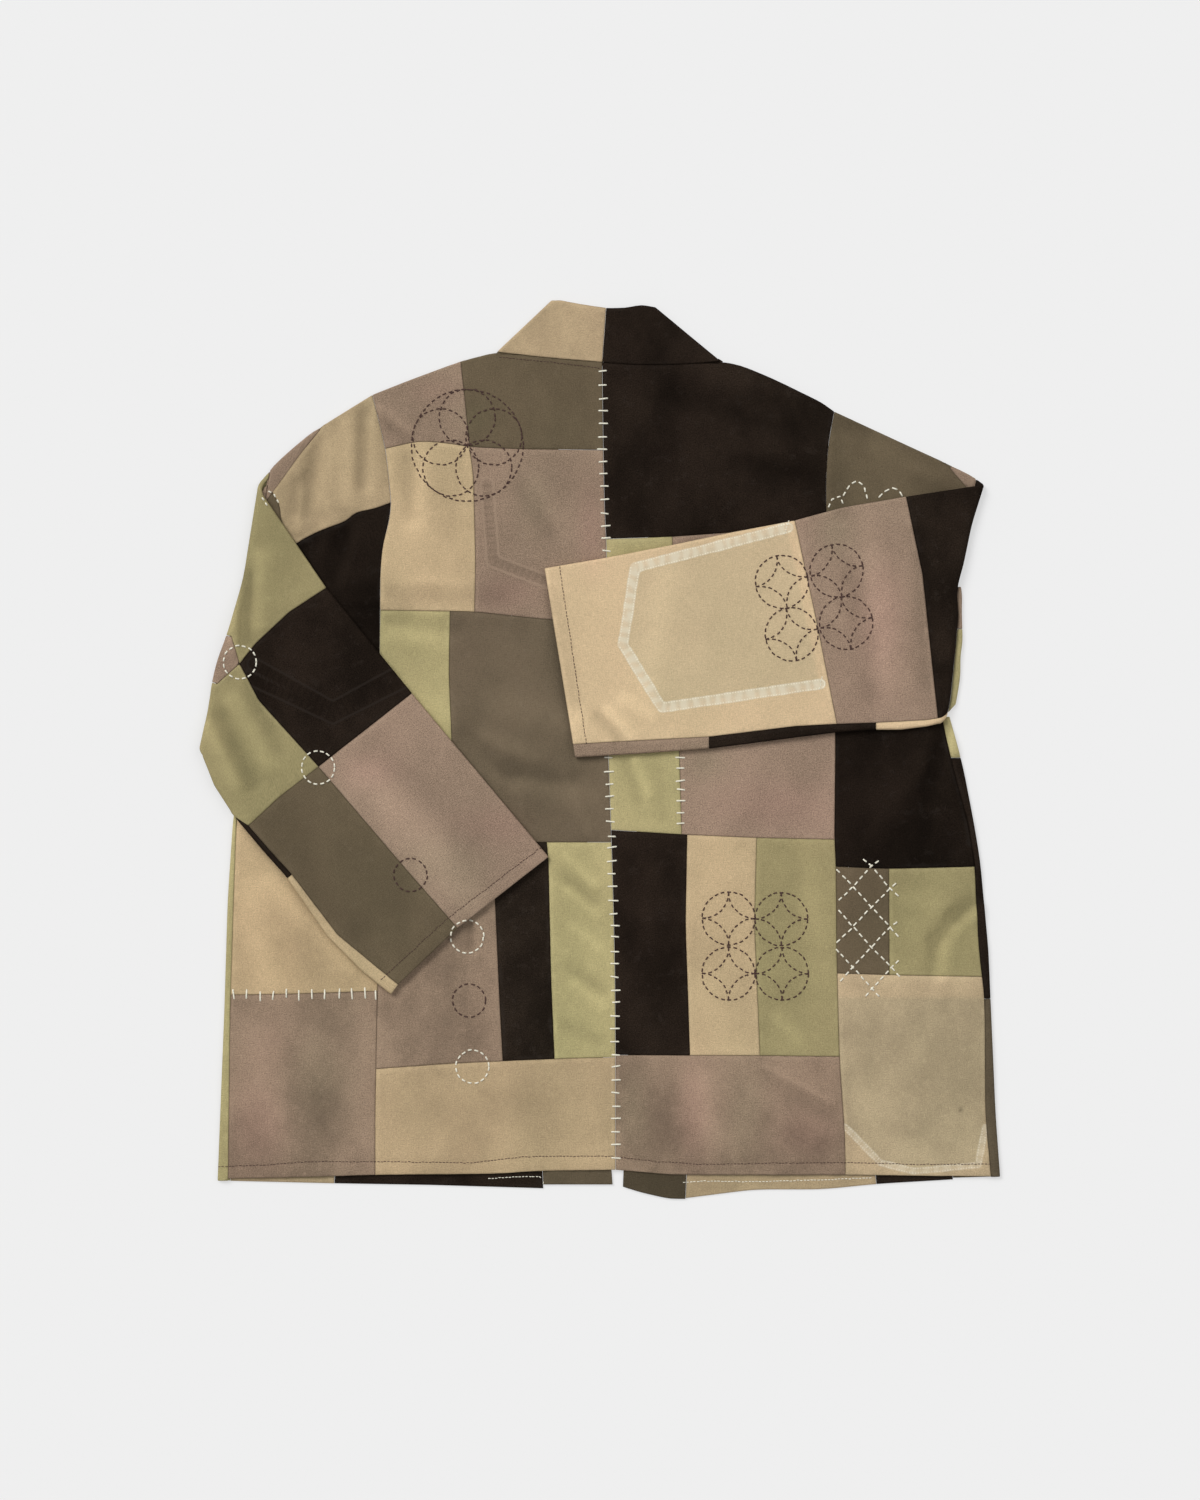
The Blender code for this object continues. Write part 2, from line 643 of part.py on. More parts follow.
def signed_volume(mesh):
    total = 0.0
    for face in mesh.polygons:
        ring = [mesh.vertices[index].co for index in face.vertices]
        for second, third in zip(ring[1:-1], ring[2:]):
            total += ring[0].dot(second.cross(third)) / 6
    return total


def cloth_material(cloth):
    name = "cloth_" + cloth
    material = bpy.data.materials.get(name)
    if material is None:
        material = bpy.data.materials.new(name)
        material.use_nodes = True
        shader = material.node_tree.nodes["Principled BSDF"]
        shader.inputs["Base Color"].default_value = (*CLOTH[cloth], 1.0)
        shader.inputs["Roughness"].default_value = CLOTH_ROUGHNESS
        shader.inputs["Metallic"].default_value = 0.0
    return material


def inside_of(line, centre, distance):
    return [tuple(point) for point in moved_towards(curve(line), np.array(centre, dtype=float), distance)]


# Lines that follow from the outlines: where the cloth starts to roll, and where a rolled lap ends
ROLL_INSET = HALF_BODY + WALL / 2
BAND_INSET = HALF_BODY + BAND_WALL / 2
ROLL_FOREARM = HALF_FOREARM + WALL / 2
BODY_CENTRE = (0, 0)
OUTSIDE_R = (400, 100)
SHOULDER_ROLL_L = inside_of(SHOULDER_L, BODY_CENTRE, ROLL_INSET)
SHOULDER_ROLL_R = inside_of(SHOULDER_R, BODY_CENTRE, ROLL_INSET)
SHOULDER_LAP_L = inside_of(SHOULDER_L, BODY_CENTRE, ROLL_INSET + LAP)
SHOULDER_LAP_R = inside_of(SHOULDER_R, BODY_CENTRE, ROLL_INSET + LAP)
SIDE_ROLL_L = inside_of(SIDE_L, BODY_CENTRE, ROLL_INSET)
SIDE_ROLL_R = inside_of(SIDE_R, BODY_CENTRE, ROLL_INSET)
COLLAR_ROLL_L = inside_of(COLLAR_SIDE_L, BODY_CENTRE, BAND_INSET)
COLLAR_ROLL_R = inside_of(COLLAR_SIDE_R, BODY_CENTRE, BAND_INSET)
COLLAR_LAP_L = inside_of(COLLAR_SIDE_L, BODY_CENTRE, BAND_INSET + LAP)
COLLAR_LAP_R = inside_of(COLLAR_SIDE_R, BODY_CENTRE, BAND_INSET + LAP)
ARM_ROLL_L = inside_of(ARM_TOP_L, BODY_CENTRE, ROLL_INSET)
ARM_ROLL_R = inside_of(ARM_TOP_R, BODY_CENTRE, ROLL_INSET)
ARM_LAP_L = inside_of(ARM_TOP_L, BODY_CENTRE, ROLL_INSET + LAP + EDGE_MARGIN)
ARM_LAP_R = inside_of(ARM_TOP_R, BODY_CENTRE, ROLL_INSET + LAP + EDGE_MARGIN)
FOLD_INNER_L = FOLD_LEFT.inner_line()
FOLD_INNER_R = FOLD_RIGHT.inner_line()
TUCK_INNER_R = inside_of(FOLD_R, OUTSIDE_R, TUCK_CLEARANCE)


def back_left():
    """The back's patches left of the centre seam."""
    top = joined(SHOULDER_ROLL_L, NECK_L)

    def on_shoulder(point):
        return point[0] < SHOULDER_ROLL_L[-1][0] + EDGE_MARGIN

    yoke_taupe = Patch("back_left_yoke_taupe", "taupe", YOKE_LINE_L, YOKE_SPLIT, SHOULDER_ROLL_L, PANEL_L,
                       (-160, 305))
    yoke_taupe.roll("north")
    yoke_olive = Patch("back_left_yoke_olive", "olive", YOKE_LINE_L, CENTRE, top, YOKE_SPLIT, (-60, 310))
    yoke_olive.roll("north", when=on_shoulder)
    return [
        yoke_taupe,
        yoke_olive,
        Patch("back_left_tan", "tan", LINE_610, TAN_TAUPE, YOKE_LINE_L, PANEL_L, (-155, 200)),
        Patch("back_left_taupe", "taupe", LINE_610, CENTRE, YOKE_LINE_L, TAN_TAUPE, (-55, 200)),
        Patch("back_left_green", "green", LINE_842, GREEN_GREY, LINE_610, PANEL_L, (-165, 20)),
        Patch("back_left_grey_olive", "grey_olive", LINE_842, CENTRE, LINE_610, GREEN_GREY, (-60, 20)),
        Patch("back_left_side_tan", "tan", LINE_995, PANEL_L, ARM_LEVEL_L, SIDE_SEAM_L, (-260, -100)),
        Patch("back_left_side_taupe", "taupe", HEM_L, PANEL_L, LINE_995, SIDE_SEAM_L, (-265, -300)),
        Patch("back_left_middle_taupe", "taupe", LINE_1060, TAUPE_DARK, LINE_842, PANEL_L, (-145, -180)),
        Patch("back_left_dark", "dark", LINE_1060, DARK_GREEN, LINE_842, TAUPE_DARK, (-68, -180)),
        Patch("back_left_middle_green", "green", LINE_1060, CENTRE, LINE_842, DARK_GREEN, (-15, -180)),
        Patch("back_left_hem_tan", "tan", HEM_L, CENTRE, LINE_1060, PANEL_L, (-95, -330)),
    ]


def back_right():
    """The back's patches right of the centre seam."""
    top = joined(NECK_R[:-1] + SHOULDER_ROLL_R[:1], SHOULDER_ROLL_R)

    def on_shoulder(point):
        return point[0] > SHOULDER_ROLL_R[0][0] - EDGE_MARGIN

    shoulder = Patch("back_right_dark", "dark", LINE_537, PANEL_R, top, CENTRE, (110, 270))
    shoulder.roll("north", when=on_shoulder)
    return [
        shoulder,
        Patch("back_right_green", "green", LINE_835, GREEN_TAUPE, LINE_537, CENTRE, (40, 60)),
        Patch("back_right_taupe", "taupe", LINE_835, PANEL_R, LINE_537, GREEN_TAUPE, (140, 60)),
        Patch("back_right_low_dark", "dark", LINE_1056, DARK_TAN, LINE_835, CENTRE, (45, -175)),
        Patch("back_right_low_tan", "tan", LINE_1056, TAN_GREEN, LINE_835, DARK_TAN, (110, -175)),
        Patch("back_right_low_green", "green", LINE_1056, PANEL_R, LINE_835, TAN_GREEN, (178, -175)),
        Patch("back_right_hem_taupe", "taupe", HEM_R, PANEL_R, LINE_1056, CENTRE, (115, -330)),
        Patch("back_right_side_dark", "dark", LINE_867, SIDE_SEAM_R, ARM_LEVEL_R, PANEL_R, (270, -40)),
        Patch("back_right_side_olive", "olive", LINE_975, OLIVE_GREEN, LINE_867, PANEL_R, (236, -155)),
        Patch("back_right_side_green", "green", LINE_975, SIDE_SEAM_R, LINE_867, OLIVE_GREEN, (300, -155)),
        Patch("back_right_side_khaki", "khaki", HEM_R, SIDE_SEAM_R, LINE_975, PANEL_R, (280, -290)),
    ]


def side_strip(name, cloth, south, north, roll_line, front_line, seam, inside, side):
    """A front's side strip, which rolls round the jacket's side up to the back's side seam."""
    east, west = (front_line, roll_line) if side == "west" else (roll_line, front_line)
    strip = Patch(name, cloth, south, east, north, west, inside, sheet=FRONT_SHEET,
                  step=SIDE_STRIP_STEP)
    strip.roll(side, landing=seam)
    return strip


def fronts():
    """The two fronts, which lie on the surface under the back, and their bands."""
    armhole_l = joined(PANEL_L[:8], FRONT_SEAM_L)
    armhole_r = joined(PANEL_R[:6], FRONT_SEAM_R)
    flat = {"sheet": FRONT_SHEET, "step": FRONT_STEP}
    band = {"sheet": FRONT_SHEET, "step": BAND_STEP, "base": BAND, "wall": BAND_WALL}
    return [
        side_strip("front_left_side_green", "green", SIDE_HEM_L, ARMPIT_L, SIDE_ROLL_L, FRONT_SIDE_L,
                   SIDE_SEAM_L, (-330, -200), "west"),
        Patch("front_left_tan", "tan", FRONT_HEM_L, FRONT_SEAM_L, ARM_LEVEL_L, FRONT_SIDE_L,
              (-270, -150), **flat),
        Patch("front_left_dark", "dark", FRONT_HEM_L, BAND_OUTER_L, SHOULDER_LAP_L, armhole_l,
              (-130, 0), **flat),
        Patch("front_left_band", "band_olive", BAND_HEM_L, BAND_INNER_L, COLLAR_LAP_L, BAND_OUTER_L,
              (-40, 0), **band),
        side_strip("front_right_side_green", "green", SIDE_GREEN_END_R, ARMPIT_R, SIDE_ROLL_R, FRONT_SIDE_R,
                   SIDE_SEAM_R, (310, 10), "east"),
        side_strip("front_right_side_dark", "dark", SIDE_DARK_END_R, SIDE_GREEN_END_R, SIDE_ROLL_R,
                   FRONT_SIDE_R, SIDE_SEAM_R, (330, -115), "east"),
        side_strip("front_right_side_olive", "band_olive", SIDE_HEM_R, SIDE_DARK_END_R, SIDE_ROLL_R,
                   FRONT_SIDE_R, SIDE_SEAM_R, (335, -300), "east"),
        Patch("front_right_dark", "dark", FRONT_HEM_R, FRONT_SIDE_R, ARM_LEVEL_R, FRONT_SEAM_R,
              (275, -150), **flat),
        Patch("front_right_tan", "tan", FRONT_HEM_R, armhole_r, SHOULDER_LAP_R, BAND_OUTER_R,
              (150, 0), **flat),
        Patch("front_right_band", "band_olive", BAND_HEM_R, BAND_OUTER_R, COLLAR_LAP_R, BAND_INNER_R,
              (55, 0), **band),
    ]


def collar():
    """The doubled collar, which turns down round its slanted sides into the front bands."""
    doubled = {"base": BAND, "wall": BAND_WALL, "step": COLLAR_STEP}
    left = Patch("collar_left", "tan", NECK_L, COLLAR_CENTRE, COLLAR_TOP_L, COLLAR_ROLL_L, (-20, 375),
                 **doubled)
    left.roll("west")
    right = Patch("collar_right", "dark", NECK_R, COLLAR_ROLL_R, COLLAR_TOP_R, COLLAR_CENTRE, (35, 372),
                  **doubled)
    right.roll("east")
    return [left, right]


def upper_arms():
    """Both upper arms, between the armholes and the fold lines."""
    start_l = ARM_STRIP_L[0][0]
    tan_top = list(ARM_STRIP_L[::-1]) + stretch(ARM_ROLL_L, start_l + BACK_TURN, ARM_TOP_L[0][0])
    tan = Patch("sleeve_left_arm_tan", "tan", TAN_DARK_L, PANEL_L, tan_top, ARM_BIT_L, (-235, 240),
                step=CREASED_STEP)
    tan.roll("north", when=lambda point: point[0] > start_l + BACK_TURN - EDGE_MARGIN)
    dark = Patch("sleeve_left_arm_dark", "dark", ARM_LOW_L, PANEL_L, TAN_DARK_L, FOLD_INNER_L, (-250, 120))
    olive = Patch("sleeve_left_arm_olive", "olive", TAN_DARK_L, ARM_BIT_L, ARM_OLIVE_TOP_L, FOLD_INNER_L,
                  (-297, 200))
    front_top_l = (stretch(ARM_ROLL_L, ARM_TOP_L[-1][0], start_l - FRONT_TURN)
                   + stretch(ARM_LAP_L, start_l - EDGE_MARGIN, ARM_TOP_L[0][0]))
    front_l = Patch("sleeve_left_arm_front", "taupe", ARM_LOW_L, PANEL_L, front_top_l, FOLD_INNER_L,
                    (-250, 150), sheet=FRONT_SHEET, step=ARM_FRONT_STEP)
    front_l.roll("north", landing=ARM_STRIP_L,
                 when=lambda point: point[0] < start_l - FRONT_TURN + EDGE_MARGIN)
    start_r = ARM_STRIP_R[0][0]
    olive_top_r = stretch(ARM_ROLL_R, ARM_TOP_R[0][0], start_r - BACK_TURN) + list(ARM_STRIP_R)
    olive_r = Patch("sleeve_right_arm_olive", "olive", ARM_LEVEL_R, FOLD_INNER_R, olive_top_r, PANEL_R,
                    (260, 150))
    olive_r.roll("north", when=lambda point: point[0] < start_r - BACK_TURN + EDGE_MARGIN)
    front_top_r = (stretch(ARM_LAP_R, ARM_TOP_R[0][0], start_r + EDGE_MARGIN)
                   + stretch(ARM_ROLL_R, start_r + FRONT_TURN, ARM_TOP_R[-1][0]))
    front_r = Patch("sleeve_right_arm_front", "taupe", ARM_LEVEL_R, FOLD_INNER_R, front_top_r, PANEL_R,
                    (260, 150), sheet=FRONT_SHEET, step=ARM_FRONT_STEP)
    front_r.roll("north", landing=ARM_STRIP_R,
                 when=lambda point: point[0] > start_r + FRONT_TURN - EDGE_MARGIN)
    return [tan, dark, olive, front_l, olive_r, front_r]


class Forearm:
    """A folded forearm: its seams in unfolded coordinates, and the edges that its pieces roll round."""

    def __init__(self, fold, top_edges, low_edges, forearm_middle, arm_middle):
        self.fold = fold
        self.forearm_middle = forearm_middle
        self.arm_middle = arm_middle
        self.top_roll, self.top_lean = self.edge_lines(top_edges, 0.0)
        self.low_roll, self.low_lean = self.edge_lines(low_edges, 0.0)
        self.top_lap, self.top_lap_lean = self.edge_lines(top_edges, LAP + LAP_EASE)
        self.low_lap, self.low_lap_lean = self.edge_lines(low_edges, LAP + LAP_EASE)
        self.fold_edge = self.level_line(FOLD_LENGTH)

    def level_line(self, across):
        """A line at one unfolded distance across the fold, a little longer than the fold."""
        return [(station, across) for station in self.fold.stations]

    def edge_lines(self, edges, lap):
        """An edge's roll line in unfolded coordinates, and how it leans as it goes round the fold."""
        forearm_edge, arm_edge = edges
        forearm = self.unfolded(inside_of(forearm_edge, self.forearm_middle, ROLL_FOREARM + lap))
        arm = self.fold.unfold(inside_of(arm_edge, self.arm_middle, ROLL_INSET + lap), forearm=False)
        end = self.station_at(curve(forearm), FOLD_LENGTH)
        start = self.station_at(arm, -FOLD_UNDER)
        return forearm, (start - end) / (FOLD_LENGTH + FOLD_UNDER)

    def station_at(self, line, across):
        line = extended(line, 2 * REACH)
        return point_at(line, crossing(line, curve(self.level_line(across)))[0])[0]

    def unfolded(self, line):
        return self.fold.unfold_line(line)

    def patch(self, name, cloth, south, east, north, west, inside, step=STEP, sheet=FRONT_SHEET):
        centre = self.fold.unfold([inside])[0]
        return Patch(name, cloth, south, east, north, west, centre, base=self.fold, sheet=sheet, step=step)


def left_forearm():
    """The left forearm: west is the fold, north its upper edge and south its lower edge."""
    arm = Forearm(FOLD_LEFT, (FOREARM_TOP_L, ARM_TOP_L), (FOREARM_LOW_L, UNDERARM_L), (-260, 20),
                  (-290, 150))
    cross = arm.unfolded(CROSS_SEAM_L)
    small_top = arm.unfolded(SMALL_TOP_L)
    small_low = arm.unfolded(SMALL_LOW_L)
    lower = arm.unfolded(LOWER_SEAM_L)
    long_seam = arm.unfolded(LONG_SEAM_L)
    strip_seam = arm.unfolded(STRIP_SEAM_L)
    cuff = arm.unfolded(CUFF_L)
    small_end = arm.unfolded(SMALL_END_L)
    green_top = arm.unfolded(SMALL_LOW_L + LONG_SEAM_L[1:3])
    green_end = arm.unfolded(LOWER_SEAM_L[1:])
    olive_top = arm.unfolded(LOWER_SEAM_L[1:4])
    strip_split = arm.unfolded(STRIP_SPLIT_L)
    strip_start = arm.unfolded(LOWER_SEAM_L[3:])
    green_upper = arm.patch("sleeve_left_green_upper", "green", small_top, cross, arm.top_roll,
                            arm.fold_edge, (-300, 150), step=FOLD_STEP)
    green_upper.carry_round_fold("west", 0.0, arm.top_lean)
    green_upper.roll("north")
    small = arm.patch("sleeve_left_small_taupe", "taupe", small_low, small_end, small_top, arm.fold_edge,
                      (-335, 82))
    small.carry_round_fold("west")
    green_lower = arm.patch("sleeve_left_green_lower", "green", arm.low_roll, green_end, green_top,
                            arm.fold_edge, (-310, -10), step=FOLD_STEP)
    green_lower.carry_round_fold("west", arm.low_lean, 0.0)
    green_lower.roll("south")
    dark = arm.patch("sleeve_left_dark", "dark", lower, arm.top_roll, cross, long_seam, (-245, 60))
    dark.roll("east")
    taupe = arm.patch("sleeve_left_taupe", "taupe", cuff, arm.top_roll, lower, long_seam, (-150, -60))
    taupe.roll("east")
    olive = arm.patch("sleeve_left_olive", "olive", cuff, long_seam, olive_top, strip_seam, (-230, -110))
    strip_dark = arm.patch("sleeve_left_strip_dark", "dark", strip_split, strip_seam, strip_start,
                           arm.low_roll, (-302, -87))
    strip_dark.roll("west")
    strip_tan = arm.patch("sleeve_left_strip_tan", "tan", cuff, strip_seam, strip_split, arm.low_roll,
                          (-235, -173))
    strip_tan.roll("west")
    under = arm.patch("sleeve_left_under", "taupe", arm.low_lap, cuff, arm.top_lap, arm.fold_edge,
                      (-220, -60), sheet=BACK_SHEET, step=UNDER_STEP)
    under.carry_round_fold("west", arm.low_lap_lean, arm.top_lap_lean)
    return [green_upper, small, green_lower, dark, taupe, olive, strip_dark, strip_tan, under]


def right_forearm():
    """The right forearm: east is the fold, north its upper edge and south its lower edge."""
    arm = Forearm(FOLD_RIGHT, (FOREARM_TOP_R, ARM_TOP_R), (FOREARM_LOW_R, UNDERARM_R), (220, 110),
                  (280, 150))
    strip_seam = arm.unfolded(STRIP_SEAM_R)
    cuff = arm.unfolded(CUFF_R)
    tan_taupe = arm.unfolded(TAN_TAUPE_R)
    taupe_dark = arm.unfolded(TAUPE_DARK_R)
    end_1 = arm.unfolded(STRIP_END_R1)
    end_2 = arm.unfolded(STRIP_END_R2)
    tan = arm.patch("sleeve_right_tan", "pale_tan", strip_seam, tan_taupe, arm.top_roll, cuff, (80, 100))
    tan.roll("north")
    taupe = arm.patch("sleeve_right_taupe", "taupe", strip_seam, taupe_dark, arm.top_roll, tan_taupe,
                      (245, 110))
    taupe.roll("north")
    dark = arm.patch("sleeve_right_dark", "dark", strip_seam, arm.fold_edge, arm.top_roll, taupe_dark,
                     (302, 170), step=FOLD_STEP)
    dark.carry_round_fold("east", arm.low_lean, arm.top_lean)
    dark.roll("north")
    strip_taupe = arm.patch("sleeve_right_strip_taupe", "taupe", arm.low_roll, end_1, strip_seam, cuff,
                            (40, 4))
    strip_taupe.roll("south")
    strip_dark = arm.patch("sleeve_right_strip_dark", "dark", arm.low_roll, end_2, strip_seam, end_1,
                           (170, 17))
    strip_dark.roll("south")
    strip_tan = arm.patch("sleeve_right_strip_tan", "pale_tan", arm.low_roll, arm.fold_edge, strip_seam,
                          end_2, (280, 23))
    strip_tan.carry_round_fold("east", arm.low_lean, arm.low_lean)
    strip_tan.roll("south")
    under = arm.patch("sleeve_right_under", "taupe", arm.low_lap, arm.fold_edge, arm.top_lap, cuff,
                      (150, 100), sheet=BACK_SHEET, step=UNDER_STEP)
    under.carry_round_fold("east", arm.low_lap_lean, arm.top_lap_lean)
    return [tan, taupe, dark, strip_taupe, strip_dark, strip_tan, under]


def tucks():
    """Two loops of the right upper arm that show past the fold."""
    roll_line = inside_of(TUCK_EDGE_R, BODY_CENTRE, ROLL_INSET)
    pieces = []
    for name, cloth, south, north, inside in (
            ("sleeve_right_tuck_taupe", "taupe", TUCK_MID_R, TUCK_TOP_R, (318, 115)),
            ("sleeve_right_tuck_green", "green", TUCK_LOW_R, TUCK_MID_R, (318, 65))):
        tuck = Patch(name, cloth, south, roll_line, north, TUCK_INNER_R, inside, sheet=FRONT_SHEET)
        tuck.roll("east", landing=TUCK_INNER_R)
        pieces.append(tuck)
    return pieces


def clear_scene():
    for thing in list(bpy.data.objects):
        bpy.data.objects.remove(thing, do_unlink=True)


def main():
    clear_scene()
    patches = back_left() + back_right() + fronts() + collar() + upper_arms()
    patches += left_forearm() + right_forearm() + tucks()
    for patch in patches:
        patch.build()


main()
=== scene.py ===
"""The looks of a patched boro jacket laid face down: its cloth, seams, stitches and marks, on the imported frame.

Plan sizes are millimetres in the tables and metres in the meshes. X runs to the viewer's right, Y up the
jacket's back and Z up from the surface.
"""
import math

import bpy
import numpy as np
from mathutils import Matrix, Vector
from mathutils.bvhtree import BVHTree


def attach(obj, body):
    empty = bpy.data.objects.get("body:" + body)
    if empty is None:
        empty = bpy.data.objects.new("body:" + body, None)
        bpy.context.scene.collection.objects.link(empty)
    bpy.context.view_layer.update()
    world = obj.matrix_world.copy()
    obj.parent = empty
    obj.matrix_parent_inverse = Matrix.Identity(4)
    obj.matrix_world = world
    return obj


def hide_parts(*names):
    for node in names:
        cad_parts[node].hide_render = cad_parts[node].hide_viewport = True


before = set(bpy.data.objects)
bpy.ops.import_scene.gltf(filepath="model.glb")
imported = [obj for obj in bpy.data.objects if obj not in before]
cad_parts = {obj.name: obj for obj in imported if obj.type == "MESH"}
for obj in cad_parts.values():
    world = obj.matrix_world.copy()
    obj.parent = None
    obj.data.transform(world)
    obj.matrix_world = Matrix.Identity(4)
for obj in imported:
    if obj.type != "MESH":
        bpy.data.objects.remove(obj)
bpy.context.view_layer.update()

MM = 0.001

# Cloth and layers: walls, the seam gap, half the distance between the two layers, the fold's turn and the laps
WALL = 1.2
BAND_WALL = 2.0
SEAM_GAP = 0.3
HALF_BODY = 1.4
HALF_FOREARM = 1.8
BODY_MID = WALL / 2 + HALF_BODY
BAND_MID = BAND_WALL / 2 + HALF_BODY
FOLD_RADIUS = 3.0
FOLD_LENGTH = math.pi * FOLD_RADIUS
FOLD_UNDER = 3.0
FOLD_EASE = 0.5
LAP = 3.0
LAP_EASE = 0.8
LEAN_FADE = 40.0
SHARP_DEG = 50

# Lattice lines: spacing where the cloth shows, where it is hidden, and close to the edges
TOP_STEP = 2.6
SIDE_STEP = 5.0
HIDDEN_STEP = 9.0
EDGE_ROWS = np.array([0.7, 1.8])
CLEAR_OF_EDGE = 1.5
UNFOLD_STEP = 4.0
FOLD_ROWS = 10
ROLL_ROWS = 6
ROLL_COURSE = 4

# Gentle bends in a seam are rounded over this length each side; bends past sixty degrees stay sharp
EASE = 12.0
EASE_SHARE = 0.4
SHARP_CORNER = -0.5

# The cloth thins to a rounded edge at each seam, and what lies underneath keeps only part of the unevenness
SEAM_SHOULDER = 1.2
SEAM_EDGE = 0.6
UNDERSIDE_DENTS = 0.4

# Limits of all the folds together; the depth keeps the back clear of the fronts under it
DEEPEST = 0.8
HIGHEST = 7.0

# Unevenness of loose cloth: height, distance apart and seed of each swell
RIPPLES = [(0.42, 75.0, 0.4), (0.22, 27.0, 1.3)]

# Beside a seam: the valley's height and half width, the pressed allowance's height, place and half width, and the
# small gathers' height, reach, distance apart and seed
SEAM_VALLEY = (-0.30, 1.2)
SEAM_ALLOWANCE = (0.22, 5.0, 3.2)
SEAM_GATHERS = (0.26, 8.0, 11.0, 2.1)

# At a row of machine stitches: the same for the groove, and for the hem that stands up beside it
ROW_GROOVE = (-0.35, 1.6)
ROW_HEM = (0.12, 6.0, 4.0, 9.0, 0.8)

# Where a pocket's edge was: the ridges' height and half width, and the rungs' height, reach and sinking
POCKET_RIDGE = (0.65, 1.5)
POCKET_RUNGS = (0.26, 3.8, 0.8)

# Sine waves that make up one uneven swell: how many, the turn from one to the next, the first one's length and what
# each next one adds, as shares of the swell's size, and the shift between them
WAVES = 5
WAVE_TURN = 2.4
WAVE_LENGTH = (0.75, 0.17)
WAVE_SHIFT = 1.7

# Weave coordinates run in these steps of plan millimetres, and each piece's start is moved on by a share of one
WEAVE_UNIT = 100
WEAVE_SHIFT = 0.37

# Distances used to find where seams meet
REACH = 12.0
RAY = 80.0
POINT_MARGIN = 0.3
EDGE_MARGIN = 1.0
TINY = 1e-9

# Along an upper arm's top edge, how far past the strip's start each sheet begins or ends its turn
BACK_TURN = 1.5
FRONT_TURN = 2.5

# Outlines and seams of the back, left of the centre seam
SHOULDER_L = [(-205, 320), (-172, 333), (-125.5, 350.3), (-93, 358.5)]
NECK_L = [(-93, 358.5), (-72, 356), (-49, 353.5), (-22, 351), (2, 349.2)]
CENTRE = [(2, 349), (3, 270), (4, 221), (5.5, 189), (6, 171), (7.5, -5), (10, -72), (12, -135), (13.5, -207),
          (14, -276), (14, -378)]
PANEL_L = [(-205, 320), (-193, 271), (-188, 222), (-190, 206), (-196, 183), (-198, 157), (-198, 128),
           (-198.5, 85), (-199, 0), (-200, -135), (-200, -211), (-201, -243), (-202.5, -328), (-202.5, -383)]
SIDE_SEAM_L = [(-309, 30), (-321, -13), (-327, -61), (-330, -135), (-333, -234), (-335, -386)]
SIDE_L = [(-315, 30), (-323.5, -13), (-330.5, -61), (-335.5, -135), (-338.5, -234), (-344.5, -386)]
YOKE_LINE_L = [(-193, 271.5), (-163, 278.5), (-135, 276), (-117.5, 273), (-75, 271), (3, 270)]
YOKE_SPLIT = [(-125.5, 350), (-121.5, 315), (-117.5, 273)]
TAN_TAUPE = [(-117.5, 273), (-114, 247), (-112, 171), (-113, 125)]
LINE_610 = [(-198, 126), (-135, 125), (-113, 124.5), (-42, 117), (6.5, 115)]
GREEN_GREY = [(-135, 125), (-136, 66), (-133.5, 12), (-133, -83)]
LINE_842 = [(-199.5, -83), (-133, -83), (-96, -83), (-48, -83), (10, -83)]
LINE_995 = [(-333, -220.5), (-270, -219.5), (-200, -217)]
TAUPE_DARK = [(-96, -83), (-94.5, -135), (-90, -234), (-87.5, -280)]
DARK_GREEN = [(-48, -83), (-46.5, -98), (-44, -207), (-41, -278)]
LINE_1060 = [(-201.5, -287), (-132, -282), (-87.5, -280), (-41, -278), (14, -276.5)]
HEM_L = [(-335, -386), (-270, -384.5), (-202.5, -382.5), (-91, -381.5), (-59, -379), (14, -378)]
ARM_LEVEL_L = [(-198.5, 85.5), (-205, 67), (-225, 52), (-270, 40), (-309, 31)]

# Outlines and seams of the back, right of the centre seam
SHOULDER_R = [(109, 350), (127, 346.5), (155, 335), (200, 313), (211, 305)]
NECK_R = [(2, 349.2), (29, 347), (56, 346.5), (85, 348), (109, 350)]
PANEL_R = [(211, 305), (205.5, 276), (203.5, 247), (203.5, 217), (206, 135), (209.5, 63), (212, 9),
           (211, -80), (212.5, -105), (213, -179), (215.5, -275), (220.5, -348), (221, -383)]
SIDE_SEAM_R = [(308, 30), (317, -14), (331, -63), (337, -99), (341, -179), (346.5, -226), (347, -328),
               (352, -384)]
SIDE_R = [(315, 30), (327, -14), (336.5, -63), (342.5, -99), (350, -179), (352, -226), (356.5, -328),
          (360.5, -384)]
LINE_537 = [(5.5, 190), (65, 192), (120, 196), (205, 200)]
GREEN_TAUPE = [(65, 192), (71.5, -4), (73.5, -76)]
LINE_835 = [(10, -72), (73.5, -76), (141, -79), (211, -80.5)]
DARK_TAN = [(78.5, -76), (77, -156), (81, -275)]
TAN_GREEN = [(141, -79), (139, -156), (144, -275)]
LINE_1056 = [(14, -274.5), (81, -275), (144, -275), (215.5, -276)]
LINE_867 = [(212.5, -105), (260, -107), (338, -105)]
OLIVE_GREEN = [(260, -107), (260.5, -202.5)]
LINE_975 = [(213, -201), (260.5, -202.5), (342.5, -204)]
HEM_R = [(14, -378), (65, -382.5), (221, -382.5), (352, -384)]
ARM_LEVEL_R = [(209.5, 63), (218, 48), (236, 38), (270, 32), (308, 30)]

